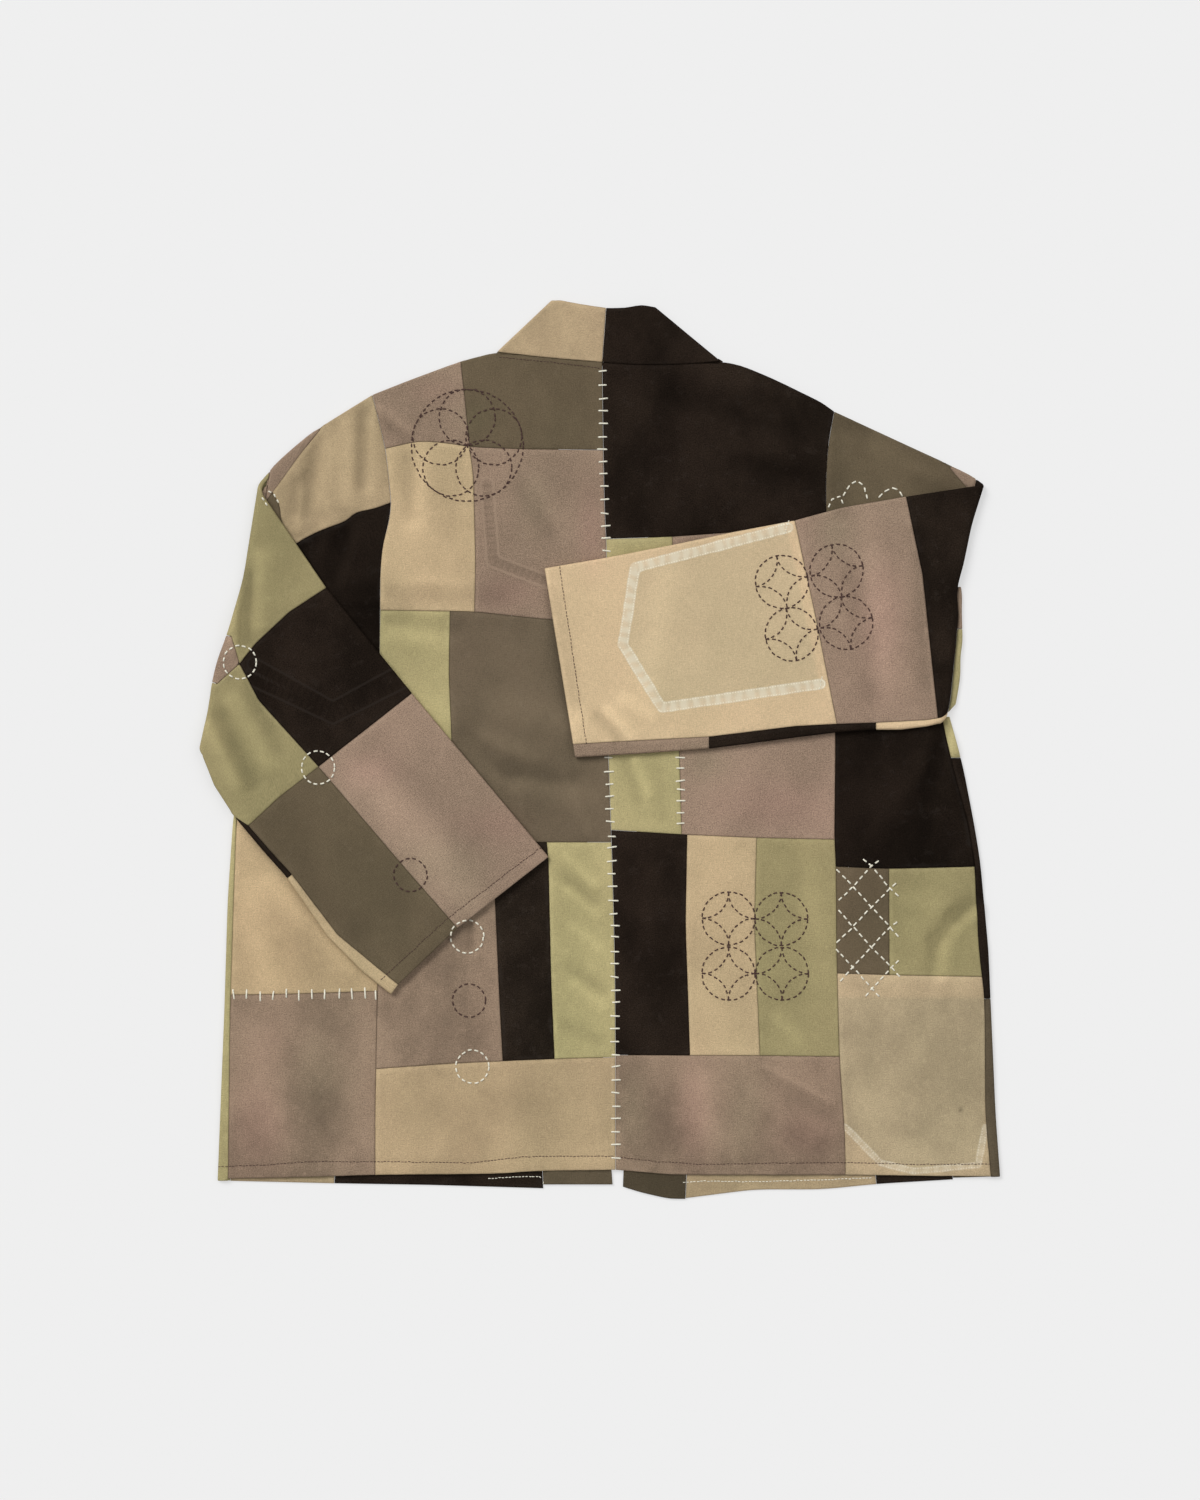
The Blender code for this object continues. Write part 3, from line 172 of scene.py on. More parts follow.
# Fronts and bands, which lie on the surface under the back
FRONT_SIDE_L = [(-303, 30), (-320, -61), (-328, -234), (-333, -388)]
FRONT_SEAM_L = [(-198.5, 85.5), (-239.5, -391)]
FRONT_HEM_L = [(-344, -388), (-239.5, -390.5), (-151, -392), (-51, -395)]
BAND_OUTER_L = [(-93, 358.5), (-51, -395)]
BAND_INNER_L = [(-47, 402), (11.5, -391.5)]
BAND_HEM_L = [(-51, -391.5), (11.5, -391.5)]
FRONT_SIDE_R = [(293, 30), (309, -99), (314, -226), (318, -388)]
FRONT_SEAM_R = [(209.5, 63), (249, -391)]
FRONT_HEM_R = [(76, -404), (139, -396), (200.5, -396), (250, -391), (318, -387), (360.5, -384)]
BAND_OUTER_R = [(109, 350), (77, -404.5)]
BAND_INNER_R = [(51, 398), (20.5, -393.5)]
BAND_HEM_R = [(20.5, -393.5), (36, -398.5), (62.5, -404.5), (77, -404.5)]
SIDE_GREEN_END_R = [(280, -7), (360, -7)]
SIDE_DARK_END_R = [(280, -224), (370, -224)]
ARMPIT_L = [(-340, 31), (-290, 31)]
ARMPIT_R = [(280, 30), (335, 30)]
SIDE_HEM_L = [(-350, -388), (-320, -388)]
SIDE_HEM_R = [(300, -386), (370, -384)]

# Collar
COLLAR_SIDE_L = [(-93, 358.5), (-47, 402)]
COLLAR_TOP_L = [(-47, 402), (-43, 404.5), (-36, 405), (-18, 401.5), (5.5, 398)]
COLLAR_CENTRE = [(5.5, 398), (2, 349)]
COLLAR_TOP_R = [(5.5, 398), (22.5, 398), (37.5, 401), (51, 398)]
COLLAR_SIDE_R = [(109, 350), (51, 398)]

# Left sleeve
ARM_TOP_L = [(-205, 320), (-234, 302), (-261, 285), (-279, 270), (-295, 255.5), (-308, 237)]
ARM_STRIP_L = [(-249, 292), (-267, 270), (-295, 232)]
ARM_OLIVE_TOP_L = [(-309, 213), (-295, 232), (-288, 241.5)]
ARM_BIT_L = [(-295, 232), (-288.5, 221), (-287, 203.5), (-274, 186)]
TAN_DARK_L = [(-188, 223), (-204, 217), (-220, 214), (-229, 206), (-257, 195.5), (-274, 186), (-318, 148)]
FOLD_L = [(-308, 237), (-321, 155), (-334, 108.5), (-344.5, 81), (-349, 63), (-352.8, 36), (-360.5, 2)]
UNDERARM_L = [(-309, 31), (-360.5, 2)]
ARM_LOW_L = [(-198.5, 85.5), (-205, 67), (-225, 52), (-270, 40), (-290, 36.5), (-300, 43), (-360, 8)]
FOREARM_TOP_L = [(-308, 237), (-246, 146), (-169, 51), (-46, -96)]
FOREARM_LOW_L = [(-360.5, 2), (-347, -32), (-330, -58.5), (-302, -92), (-284, -112),
                 (-245, -168), (-214, -199), (-188, -220)]
STRIP_SEAM_L = [(-316, -68), (-297, -90), (-277, -112), (-236, -166), (-181.5, -211)]
CUFF_L = [(-46, -96), (-128, -160), (-181.5, -211), (-188, -220)]
CROSS_SEAM_L = [(-246, 146), (-279.5, 124), (-310, 95.5), (-324, 77.5)]
SMALL_TOP_L = [(-333, 109), (-324, 77.5)]
SMALL_LOW_L = [(-348, 56), (-324, 77.5)]
SMALL_END_L = [(-323, 83), (-328, 70)]
STRIP_SPLIT_L = [(-277, -112), (-286, -119)]
LONG_SEAM_L = [(-324, 77.5), (-307, 44.8), (-253, -15), (-174, -107.5), (-128, -160)]
LOWER_SEAM_L = [(-169, 51), (-253, -15), (-288, -42), (-316, -68), (-330, -58.5)]

# Right sleeve
ARM_TOP_R = [(211, 305), (267, 279), (310.5, 259), (335, 247), (346, 239)]
ARM_STRIP_R = [(311, 259), (319, 249), (329, 238)]
FOLD_R = [(346, 239), (334.7, 203), (331, 185), (327, 166), (322.7, 151), (321, 139), (322.3, 121), (320.3, 96),
          (317.5, 66), (315, 42), (311, 25)]
UNDERARM_R = [(330, 38), (270, 48)]
FOREARM_TOP_R = [(346, 239), (275, 228), (217, 218), (175, 206.5), (119, 196), (65, 184.5), (5.5, 173),
                 (-50, 163.5)]
FOREARM_LOW_R = [(311, 25), (294, 21), (270, 18), (246.5, 18), (216, 16), (175.5, 11), (98, 1), (27, -4),
                 (-22.5, -7)]
STRIP_SEAM_R = [(311, 30), (294, 27), (246, 24.5), (213, 23.5), (175.5, 21.5), (98.5, 12), (-12, 6),
                (-26, 5)]
CUFF_R = [(-50, 163.5), (-24, 3.5), (-22.5, -7)]
TAN_TAUPE_R = [(175, 206.5), (195.5, 111.5), (213, 23)]
TAUPE_DARK_R = [(275, 228), (290, 157.5), (304, 26)]
STRIP_END_R1 = [(98, 20), (98, -8)]
STRIP_END_R2 = [(248, 32), (248, 10)]
TUCK_EDGE_R = [(324.5, 152), (326.4, 140), (326, 126), (326.8, 98), (324.7, 84), (324.9, 68), (322.6, 52),
               (319.5, 36)]
TUCK_CLEARANCE = 0.3
TUCK_TOP_R = [(305, 147), (335, 147)]
TUCK_MID_R = [(305, 109), (335, 109)]
TUCK_LOW_R = [(305, 24), (335, 58)]

# Broad creases that the light alone shows: start, end, half width and height
CREASES = [
    ((-268, 272), (-264, 205), 8, 2.2),
    ((-243, 288), (-238, 205), 8, 2.6),
    ((-219, 300), (-222, 222), 9, 1.8),
    ((-206, 180), (-222, 145), 10, 1.0),
    ((-160, 335), (-60, 285), 26, 1.4),
    ((60, 325), (170, 235), 30, 1.8),
    ((20, 260), (90, 215), 22, 1.2),
    ((100, -110), (150, -250), 26, 1.3),
    ((-110, -110), (-70, -250), 24, 1.2),
    ((-290, -250), (-250, -360), 24, 1.5),
    ((40, -310), (170, -345), 24, 1.4),
    ((-160, -330), (-40, -318), 24, 1.2),
    ((304, -14), (317, -62), 9, 2.0),
    ((306, -125), (322, -185), 10, 1.8),
    ((270, -250), (300, -350), 22, 1.5),
    ((-220, -40), (-130, -110), 20, 1.3),
    ((40, 140), (150, 110), 22, 1.3),
    ((230, 190), (240, 70), 18, 1.3),
]

# Soft folds, whose ridges are also coloured paler, partly rubbed and partly painted highlight, and whose valleys are
# darker
# with painted shade: start, end, half width and height
SOFT_FOLDS = [
    # grey-olive patch
    [(-120, 14), (-84, -16), 7.0, -2.2],
    [(-84, -16), (-26, -26), 6.0, -2.4],
    [(-104, 10), (-60, -8), 7.0, 2.2],
    [(-70, -34), (-10, -46), 8.0, 2.4],
    [(-30, -22), (-10, -70), 5.0, 1.8],
    [(-92, 40), (-24, 26), 10.0, 1.6],
    [(-40, 130), (-26, 40), 8.0, -1.4],
    # left forearm, green pieces
    [(-316, 158), (-319, 98), 4.5, -3.0],
    [(-330, 150), (-330, 90), 5.0, 3.0],
    [(-304, 172), (-306, 112), 6.0, 2.6],
    [(-342, 30), (-314, -30), 5.0, -2.6],
    [(-328, 44), (-298, -14), 6.0, 3.0],
    [(-314, 52), (-290, 2), 5.0, -1.8],
    [(-352, 20), (-326, -32), 5.0, 2.2],
    # centre green strip beside the centre seam
    [(-30, -96), (-4, -122), 3.6, 1.9],
    [(-34, -112), (-6, -136), 3.6, -1.7],
    [(-28, -128), (-2, -150), 3.6, 1.7],
    [(-24, -160), (0, -178), 3.6, 1.6],
    [(-26, -196), (2, -216), 4.0, -1.5],
    [(-22, -212), (2, -232), 4.0, 1.6],
    [(-30, -250), (0, -262), 4.0, -1.3],
    # right side, under the sleeve
    [(310, 18), (292, -46), 5.0, -3.0],
    [(318, 12), (306, -60), 5.0, 3.2],
    [(300, 8), (272, -40), 7.0, 2.4],
    [(322, -10), (330, -60), 4.0, -2.0],
    [(260, 0), (252, -70), 9.0, 1.8],
    # right side, green patch
    [(340, -132), (318, -150), 4.5, -2.6],
    [(318, -150), (300, -172), 4.5, -2.8],
    [(300, -172), (297, -198), 4.5, -1.8],
    [(346, -142), (322, -162), 5.0, 2.8],
    [(312, -176), (308, -206), 5.0, 2.4],
    [(276, -136), (300, -140), 6.0, 1.2],
    # hem taupe: one pale pressed crease and soft hollows
    [(148, -285), (208, -317), 2.6, 1.5],
    [(150, -296), (206, -328), 7.0, -1.6],
    [(96, -300), (104, -350), 9.0, 1.4],
    [(60, -296), (66, -352), 9.0, -1.1],
    [(150, -340), (200, -356), 8.0, -1.1],
    # right shoulder
    [(66, 318), (150, 302), 9.0, -2.4],
    [(150, 302), (236, 296), 9.0, -2.6],
    [(104, 336), (230, 318), 9.0, 1.6],
    [(126, 258), (182, 243), 8.0, -2.6],
    [(120, 276), (205, 262), 10.0, 1.6],
    [(214, 268), (217, 214), 7.0, -1.8],
    [(250, 270), (300, 245), 6.0, 1.4],
    [(286, 240), (330, 226), 6.0, -1.4],
    # left upper arm
    [(-213, 302), (-216, 238), 4.5, -2.2],
    [(-204, 296), (-204, 232), 5.0, 2.2],
    [(-228, 292), (-226, 226), 6.0, 2.2],
    [(-252, 278), (-262, 246), 4.5, -1.7],
    [(-262, 246), (-266, 212), 4.5, -2.2],
    [(-274, 240), (-276, 214), 3.6, -1.7],
    [(-242, 276), (-250, 222), 6.0, 2.0],
    [(-268, 232), (-272, 200), 4.0, 1.7],
    [(-228, 196), (-242, 154), 4.5, -1.9],
    [(-216, 200), (-230, 150), 5.0, 2.3],
    [(-244, 196), (-254, 170), 5.0, 1.9],
    [(-226, 134), (-196, 132), 3.5, 1.2],
    [(-226, 128), (-196, 126), 3.5, -1.2],
    [(-204, 214), (-210, 160), 7.0, 1.3],
    # left back
    [(-195, 305), (-172, 288), 4.0, 1.8],
    [(-198, 298), (-176, 280), 4.0, -1.6],
    [(-174, 262), (-170, 212), 6.0, -2.0],
    [(-160, 262), (-166, 200), 7.0, 1.9],
    [(-186, 142), (-90, 138), 6.0, -1.6],
    [(-178, 150), (-120, 148), 5.0, 1.0],
    [(-70, 235), (-46, 196), 7.0, -1.5],
    [(-58, 240), (-30, 192), 7.0, 1.4],
    [(-190, 118), (-130, 110), 6.0, -1.4],
    [(-186, 104), (-134, 96), 7.0, 1.5],
    # left forearm, taupe and olive
    [(-210, -28), (-120, -132), 12.0, 1.8],
    [(-200, 4), (-116, -80), 10.0, -1.2],
    [(-150, 40), (-92, -24), 8.0, 1.2],
    [(-296, -120), (-226, -196), 7.0, 1.6],
    [(-300, -70), (-220, -160), 10.0, -1.1],
    # right forearm
    [(-2, 30), (16, 12), 3.6, -2.2],
    [(8, 34), (28, 12), 4.5, 2.2],
    [(22, 44), (46, 30), 5.0, 1.6],
    [(60, 152), (44, 60), 10.0, 1.2],
    [(212, 210), (206, 120), 9.0, 1.2],
    [(240, 205), (262, 60), 10.0, 1.8],
    [(228, 150), (244, 50), 8.0, -1.2],
    [(300, 200), (306, 80), 6.0, 2.2],
    [(288, 190), (292, 60), 6.0, -1.6],
    # lower left
    [(-322, -80), (-300, -210), 10.0, 1.6],
    [(-270, -30), (-262, -190), 12.0, -1.0],
    [(-300, -260), (-290, -370), 12.0, 1.2],
    [(-116, -157), (-116, -180), 2.6, -1.8],
    [(-110, -156), (-110, -184), 3.2, 1.5],
    [(-240, -250), (-246, -340), 12.0, -1.1],
    [(-170, -330), (-60, -318), 14.0, -1.0],
    # right of the centre seam
    [(24, -12), (34, -44), 4.0, -1.6],
    [(32, -10), (44, -40), 4.5, 1.7],
    [(52, -20), (56, -60), 5.0, -1.2],
    [(40, -90), (48, -260), 9.0, 1.2],
    [(160, -240), (178, -262), 5.0, 1.3],
    [(190, -90), (196, -200), 9.0, 1.0],
]

# Places where the wash left the cloth pinker above zero or greyer below: middle, half width, half height, share
BLUSHES = [
    [(84, -324), 15, 44, 1.0],
    [(188, -346), 26, 20, 0.8],
    [(30, -320), 14, 40, -0.6],
    [(130, -330), 16, 40, -0.5],
    [(-306, -338), 24, 34, 1.0],
    [(-254, -300), 26, 40, -0.6],
    [(-300, -270), 20, 24, 0.3],
    [(160, -50), 44, 22, 0.8],
    [(96, -12), 20, 16, -0.7],
    [(254, 120), 20, 50, 0.9],
    [(212, 196), 18, 18, -0.6],
    [(-8, 196), 12, 34, 0.9],
    [(-80, 142), 24, 14, 0.8],
    [(-60, 226), 16, 30, -0.5],
    [(-96, -68), 34, 18, 0.7],
    [(-208, -18), 24, 16, 0.7],
    [(-152, -100), 30, 26, -0.5],
    [(-120, -120), 20, 40, -0.4],
    [(-110, 300), 20, 16, -0.5],
    [(-150, 322), 20, 12, 0.5],
]
# One small spot of oil on the khaki: its middle and half width
OIL_SPOT = ((324.7, -323.6), 1.9)

# Rows of machine stitches beside the hem, the cuffs and the neck, and the heights between which each row lies
HEM_LINE_L = [(-343.8, -375.3), (-309.9, -374.1), (-261, -370.4), (-151.2, -371), (-114.8, -371.7), (-68.4, -366),
              (12.6, -365.6)]
HEM_LINE_R = [(15.3, -366.3), (52.7, -370.6), (89.7, -373.1), (158.8, -371.9), (221, -371.3), (287.1, -373.1),
              (351.9, -372.6)]
CUFF_LINE_L = [(-52.8, -87.3), (-136.5, -150.9), (-197.1, -206.7)]
CUFF_LINE_R = [(-36.5, 165.2), (-12.2, 5.1)]
NECK_LINE = [(-90.9, 353.7), (-54, 350.1), (0, 343.8)]
BODY_HEIGHTS = (2.5, 5.0)
SLEEVE_HEIGHTS = (8.5, 13.0)
GROOVES = [(HEM_LINE_L, *BODY_HEIGHTS), (HEM_LINE_R, *BODY_HEIGHTS), (NECK_LINE, *BODY_HEIGHTS),
           (CUFF_LINE_L, *SLEEVE_HEIGHTS), (CUFF_LINE_R, *SLEEVE_HEIGHTS)]

# Where pockets were taken off: pale bands that the sun did not reach, and pressed edges
SLEEVE_GHOST = [(169.2, 199.8), (31.5, 163.8), (20.7, 95.0), (55.5, 38.1), (198.4, 59.4)]
HEM_GHOST = [(220.5, -339.0), (252.6, -371.5), (282.2, -379.0), (340.5, -373.5), (346.5, -340.0)]
HEM_GHOST_INSIDE = [(205.0, -222.0)] + HEM_GHOST + [(352.0, -222.0)]
POCKET_BACK_SIDE = [(-101.7, 239.4), (-96.3, 170.1)]
POCKET_BACK_END = [(-98.1, 170.5), (-47.2, 151.5)]
POCKET_ARM_OUT = [(-316.1, 65.2), (-240.0, 29.5), (-177.7, 60.8)]
POCKET_ARM_IN = [(-311.4, 77.4), (-240.0, 37.8), (-186.8, 66.8)]
GHOSTS = [("sleeve_right_tan", SLEEVE_GHOST), ("back_right_side_khaki", HEM_GHOST)]
UNFADED = [("sleeve_right_tan", SLEEVE_GHOST), ("back_right_side_khaki", HEM_GHOST_INSIDE)]
POCKETS = [("back_left", POCKET_BACK_SIDE + POCKET_BACK_END[1:]), ("sleeve_left_dark", POCKET_ARM_OUT),
           ("sleeve_left_dark", POCKET_ARM_IN)]
BAR_TACKS = [[(165.5, 194.0), (170.0, 206.5)], [(197.0, 54.0), (199.5, 66.5)]]
RIDGE_AWAY = 5.6
RUNG_PITCH = 6.4
# A distance that no mark reaches
FAR = 60.0

# Stitched ornament: circles, scallops and lattice lines in thick thread
SHIPPO_BACK = [(115.6, -151.5), (163.1, -152.1), (115.6, -201.2), (163.8, -201.2)]
SHIPPO_ARM = [(163.4, 151.2), (212.6, 161.1), (172.1, 103.9), (221.0, 114.3)]
SHIPPO_RADIUS = 23.9
ARM_TURN = 11.5
ROSETTE = (-119.5, 274.2)
ROSETTE_RADIUS = 50.4
RING_RADIUS = 14.9
RINGS_BROWN = [(-170.3, -112.2), (-117.9, -225.5)]
RINGS_CREAM = [(-323.5, 78.8), (-253.3, -15.8), (-119.5, -167.9), (-114.8, -285.0)]
SCALLOPS = [
    [(205.7, 218.1), (208.6, 225.5), (215.9, 228.3), (218.7, 221.4)],
    [(218.7, 228.6), (224.6, 238.5), (231.1, 242.1), (237.9, 237.2), (240.2, 225.5)],
    [(251.0, 226.8), (256.9, 233.3), (262.8, 236.2), (268.6, 234.2), (272.1, 228.3)],
    [(-298.8, 233.1), (-293.6, 230.8), (-289.4, 222.3)],
    [(-303.9, 227.3), (-298.8, 219.6)],
]
LATTICE = [
    [(236.7, -97.9), (244.3, -104.4), (261.3, -124.7), (268.9, -131.7)],
    [(212.8, -107.7), (228.0, -123.0), (244.3, -141.6), (261.3, -159.3), (268.9, -168.3)],
    [(214.4, -143.7), (227.7, -159.3), (244.3, -177.5), (262.4, -196.0), (270.5, -204.3)],
    [(212.2, -178.7), (227.7, -195.5), (244.8, -214.9), (251.5, -221.7)],
    [(214.9, -135.5), (228.0, -123.0), (244.3, -104.4), (250.9, -99.5)],
    [(212.8, -173.7), (227.7, -159.3), (244.3, -141.6), (261.3, -124.7), (266.7, -119.7)],
    [(216.0, -207.9), (227.7, -195.5), (244.3, -177.5), (261.3, -159.3), (267.8, -154.8)],
    [(238.9, -221.7), (244.8, -214.9), (262.4, -196.0), (269.5, -189.0)],
]

# Whip stitches: down the centre seam, down the column beside the right green piece, and along the left side's row
WHIP_LEVELS = [340.2 - 11.5 * k for k in range(15)] + [-7.2 - 11.6 * k for k in range(32)]
WHIP_COLUMN_AT = 72.5
WHIP_COLUMN = [-7.2, -17.1, -27.0, -36.0, -45.9, -56.7, -65.7]
WHIP_ROW_AT = -220.0
WHIP_ROW = [-329.4, -317.7, -306.0, -293.9, -282.6, -270.9, -259.2, -247.5, -235.3, -223.7, -212.0, -201.1]
WHIP_ACROSS = 9.0
WHIP_DOWN = 10.0

# How far a whip stitch strays across and down, how much it leans, and the shares of its length that it keeps
WHIP_STRAY = (0.5, 0.6)
WHIP_LEAN = 0.08
WHIP_LENGTHS = (0.85, 1.12)

# Fine stitches that show below the hem, on a front's band and on its facing
BAND_STITCHES = [(-100.8, -386.1), (-72.0, -384.3), (-54.0, -384.3), (-51.3, -387.0), (-51.3, -391.0)]
FACING_STITCHES = [(74.7, -389.7), (90.0, -388.4), (144.0, -388.8), (207.0, -387.0), (244.8, -385.2)]

# Seam allowances inside the jacket: name, tone and outline, counterclockwise from above; and their two levels
ALLOWANCES = [
    ("allowance_neck_left", "olive", [(-92.9, 355.0), (-49.0, 350.5), (3.0, 346.0), (3.0, 352.2), (-49.0, 356.5),
                                      (-90.2, 360.6), (-92.9, 358.0)]),
    ("allowance_neck_right", "dark", [(3.2, 346.0), (29.0, 344.0), (56.0, 343.5), (85.0, 345.0), (110.5, 347.5),
                                      (110.5, 350.1), (107.0, 352.2), (85.0, 351.0), (56.0, 349.5), (29.0, 350.0),
                                      (3.2, 352.2)]),
    ("allowance_yoke", "taupe", [(-124.6, 340.0), (-121.0, 340.0), (-121.6, 351.0), (-128.0, 349.0)]),
    ("allowance_arm_left", "arm_tan", [(-254.0, 285.5), (-246.0, 288.0), (-246.0, 293.4), (-248.4, 292.9),
                                       (-252.8, 289.4)]),
    ("allowance_arm_right", "olive", [(307.5, 254.5), (314.5, 250.0), (317.6, 253.4), (316.6, 255.6),
                                      (309.0, 259.3)]),
    ("allowance_fold_right", "taupe", [(335.2, 236.0), (337.2, 236.3), (338.6, 243.0), (337.6, 244.0),
                                       (336.4, 244.0)]),
    ("allowance_fold_left", "taupe", [(-302.6, 222.0), (-299.8, 222.0), (-296.4, 250.0), (-298.0, 250.2),
                                      (-298.9, 249.0)]),
]
ALLOWANCE_LEVELS = (2.35, 2.85)

# The two sheets of cloth that lie on each other: the back, above, and the front
BACK_SHEET = 1.0
FRONT_SHEET = -1.0


def curve(points):
    return np.array(points, dtype=float)


def unit(vector):
    return vector / max(np.linalg.norm(vector), TINY)


def joined(first, second):
    """Two lines as one, where the second starts at the first's end."""
    return list(first) + list(second)[1:]


def stretch(line, low, high):
    """The stretch of a line between two X values, in order of X."""
    ordered = sorted(line)
    x = [point[0] for point in ordered]
    y = [point[1] for point in ordered]
    low, high = max(low, x[0]), min(high, x[-1])
    inner = [point for point in ordered if low + EDGE_MARGIN < point[0] < high - EDGE_MARGIN]
    return [(low, np.interp(low, x, y))] + inner + [(high, np.interp(high, x, y))]


def arc_lengths(line):
    """Distance along a line to each of its points."""
    steps = np.linalg.norm(np.diff(line, axis=0), axis=1)
    return np.concatenate([[0.0], np.cumsum(steps)])


def point_at(line, distance):
    lengths = arc_lengths(line)
    return np.array([np.interp(distance, lengths, line[:, axis]) for axis in range(2)])


def extended(line, reach):
    """The line made longer at both ends."""
    first = line[0] - line[1]
    last = line[-1] - line[-2]
    start = line[0] + first / np.linalg.norm(first) * reach
    end = line[-1] + last / np.linalg.norm(last) * reach
    return np.vstack([start, line[1:-1], end])


def left_of(along):
    """Unit vectors a quarter turn to the left of some directions."""
    along = along / np.linalg.norm(along, axis=1)[:, None]
    return np.column_stack([-along[:, 1], along[:, 0]])


def shifted(line, distance):
    """The line moved parallel to itself, to its left by distance."""
    line = np.asarray(line, dtype=float)
    normals = left_of(np.diff(line, axis=0))
    moved = []
    for index, point in enumerate(line):
        before = normals[max(index - 1, 0)]
        after = normals[min(index, len(normals) - 1)]
        miter = before + after
        miter /= max(np.dot(miter, before), TINY)
        moved.append(point + miter * distance)
    return np.array(moved)


def moved_towards(line, inside, distance):
    """The line moved parallel to itself towards the point called inside."""
    line = np.asarray(line, dtype=float)
    nearest = np.argmin(np.linalg.norm((line[1:] + line[:-1]) / 2 - inside, axis=1))
    middle = (line[nearest] + line[nearest + 1]) / 2
    side = np.dot(left_of(np.diff(line, axis=0))[nearest], inside - middle)
    return shifted(line, distance if side > 0 else -distance)


def eased(line):
    """The line with its gentle bends rounded; sharp corners stay."""
    line = curve(line)
    points = [line[0]]
    for before, here, after in zip(line[:-2], line[1:-1], line[2:]):
        first, second = unit(before - here), unit(after - here)
        reach = min(EASE, EASE_SHARE * np.linalg.norm(before - here), EASE_SHARE * np.linalg.norm(after - here))
        if np.dot(first, second) > SHARP_CORNER:
            points.append(here)
            continue
        start, end = here + first * reach, here + second * reach
        points += [start, (start + end) / 4 + here / 2, end]
    points.append(line[-1])
    return np.array(points)


def crossing(first, second):
    """Distances along two lines to the first place where they cross."""
    p, r = first[:-1], np.diff(first, axis=0)
    q, s = second[:-1], np.diff(second, axis=0)
    spread = r[:, None, 0] * s[None, :, 1] - r[:, None, 1] * s[None, :, 0]
    spread = np.where(np.abs(spread) < TINY, np.nan, spread)
    gap = q[None] - p[:, None]
    along_first = (gap[..., 0] * s[None, :, 1] - gap[..., 1] * s[None, :, 0]) / spread
    along_second = (gap[..., 0] * r[:, None, 1] - gap[..., 1] * r[:, None, 0]) / spread
    hit = (np.abs(along_first - 0.5) <= 0.5 + TINY) & (np.abs(along_second - 0.5) <= 0.5 + TINY)
    i, j = np.argwhere(hit)[0]
    return (arc_lengths(first)[i] + along_first[i, j] * np.linalg.norm(r[i]),
            arc_lengths(second)[j] + along_second[i, j] * np.linalg.norm(s[j]))


def reach_to(point, direction, line):
    """Distance from a point along a unit direction to a line."""
    return crossing(np.array([point, point + direction * RAY]), extended(line, 3 * REACH))[0]


def grid_shares(first, second, step):
    """Shares of the length at which lattice lines cross two opposite sides, closer together at both ends."""
    longest = max(arc_lengths(first)[-1], arc_lengths(second)[-1])
    near = EDGE_ROWS / longest
    shares = np.linspace(0, 1, max(2, math.ceil(longest / step)) + 1)
    clear = near[-1] * CLEAR_OF_EDGE
    inner = shares[(shares > clear) & (shares < 1 - clear)]
    return np.concatenate([[0], near, inner, 1 - near[::-1], [1]])


def sample(line, shares):
    """Points at shares of a line's length."""
    lengths = arc_lengths(line)
    return np.column_stack([np.interp(shares * lengths[-1], lengths, line[:, axis]) for axis in range(2)])


class Fold:
    """A sleeve's fold line, over which the forearm comes back onto the body."""

    def __init__(self, silhouette, outward):
        line = eased(silhouette)
        self.origin = line[0]
        self.along = unit(line[-1] - line[0])
        line = extended(line, 3 * REACH)
        normal = np.array([-self.along[1], self.along[0]])
        self.normal = normal if np.dot(normal, outward) > 0 else -normal
        self.stations = (line - self.origin) @ self.along
        inset = FOLD_RADIUS + (HALF_BODY + HALF_FOREARM) / 2 + WALL / 2
        self.offsets = (line - self.origin) @ self.normal - inset
        self.centre_height = BODY_MID + FOLD_RADIUS

    def offset(self, station):
        return np.interp(station, self.stations, self.offsets)

    def unfold(self, points, forearm=True):
        """Plan points as distance along the fold and unfolded distance across it."""
        relative = np.asarray(points, dtype=float) - self.origin
        station = relative @ self.along
        across = relative @ self.normal - self.offset(station)
        if forearm:
            across = FOLD_LENGTH - across
        return np.column_stack([station, across])

    def inner_line(self):
        """The plan line a little inside the fold where the upper arm's pieces end."""
        across = FOLD_UNDER + FOLD_EASE
        return [tuple(self.origin + self.along * t + self.normal * (self.offset(t) - across))
                for t in self.stations]

    def unfold_line(self, line):
        """A forearm line in unfolded coordinates, with points close enough together to follow the fold."""
        line = curve(line)
        points = []
        for start, end in zip(line[:-1], line[1:]):
            count = max(1, round(np.linalg.norm(end - start) / UNFOLD_STEP))
            points += [start + (end - start) * k / count for k in range(count)]
        return [tuple(point) for point in self.unfold(points + [line[-1]])]

    def half_gap(self, across):
        return HALF_BODY + (HALF_FOREARM - HALF_BODY) * np.clip(across / FOLD_LENGTH, 0.0, 1.0)

    def place(self, flat, sheet):
        """Points of the unfolded sleeve in space."""
        station, across = flat[..., 0], flat[..., 1]
        radius = FOLD_RADIUS - sheet * self.half_gap(across)
        angle = np.clip(across / FOLD_RADIUS, 0.0, math.pi)
        past = across - angle * FOLD_RADIUS
        out = radius * np.sin(angle) + np.where(across < 0, past, -past)
        plan = self.origin + station[..., None] * self.along
        plan = plan + (self.offset(station) + out)[..., None] * self.normal
        height = self.centre_height - radius * np.cos(angle)
        return np.concatenate([plan, height[..., None]], axis=-1)


class Flat:
    """The body and upper arms: two sheets that lie on each other."""

    def __init__(self, mid):
        self.mid = mid

    def half_gap(self, across):
        return np.full(np.shape(across), HALF_BODY)

    def place(self, flat, sheet):
        return np.concatenate([flat, (self.mid + sheet * HALF_BODY)[..., None]], axis=-1)


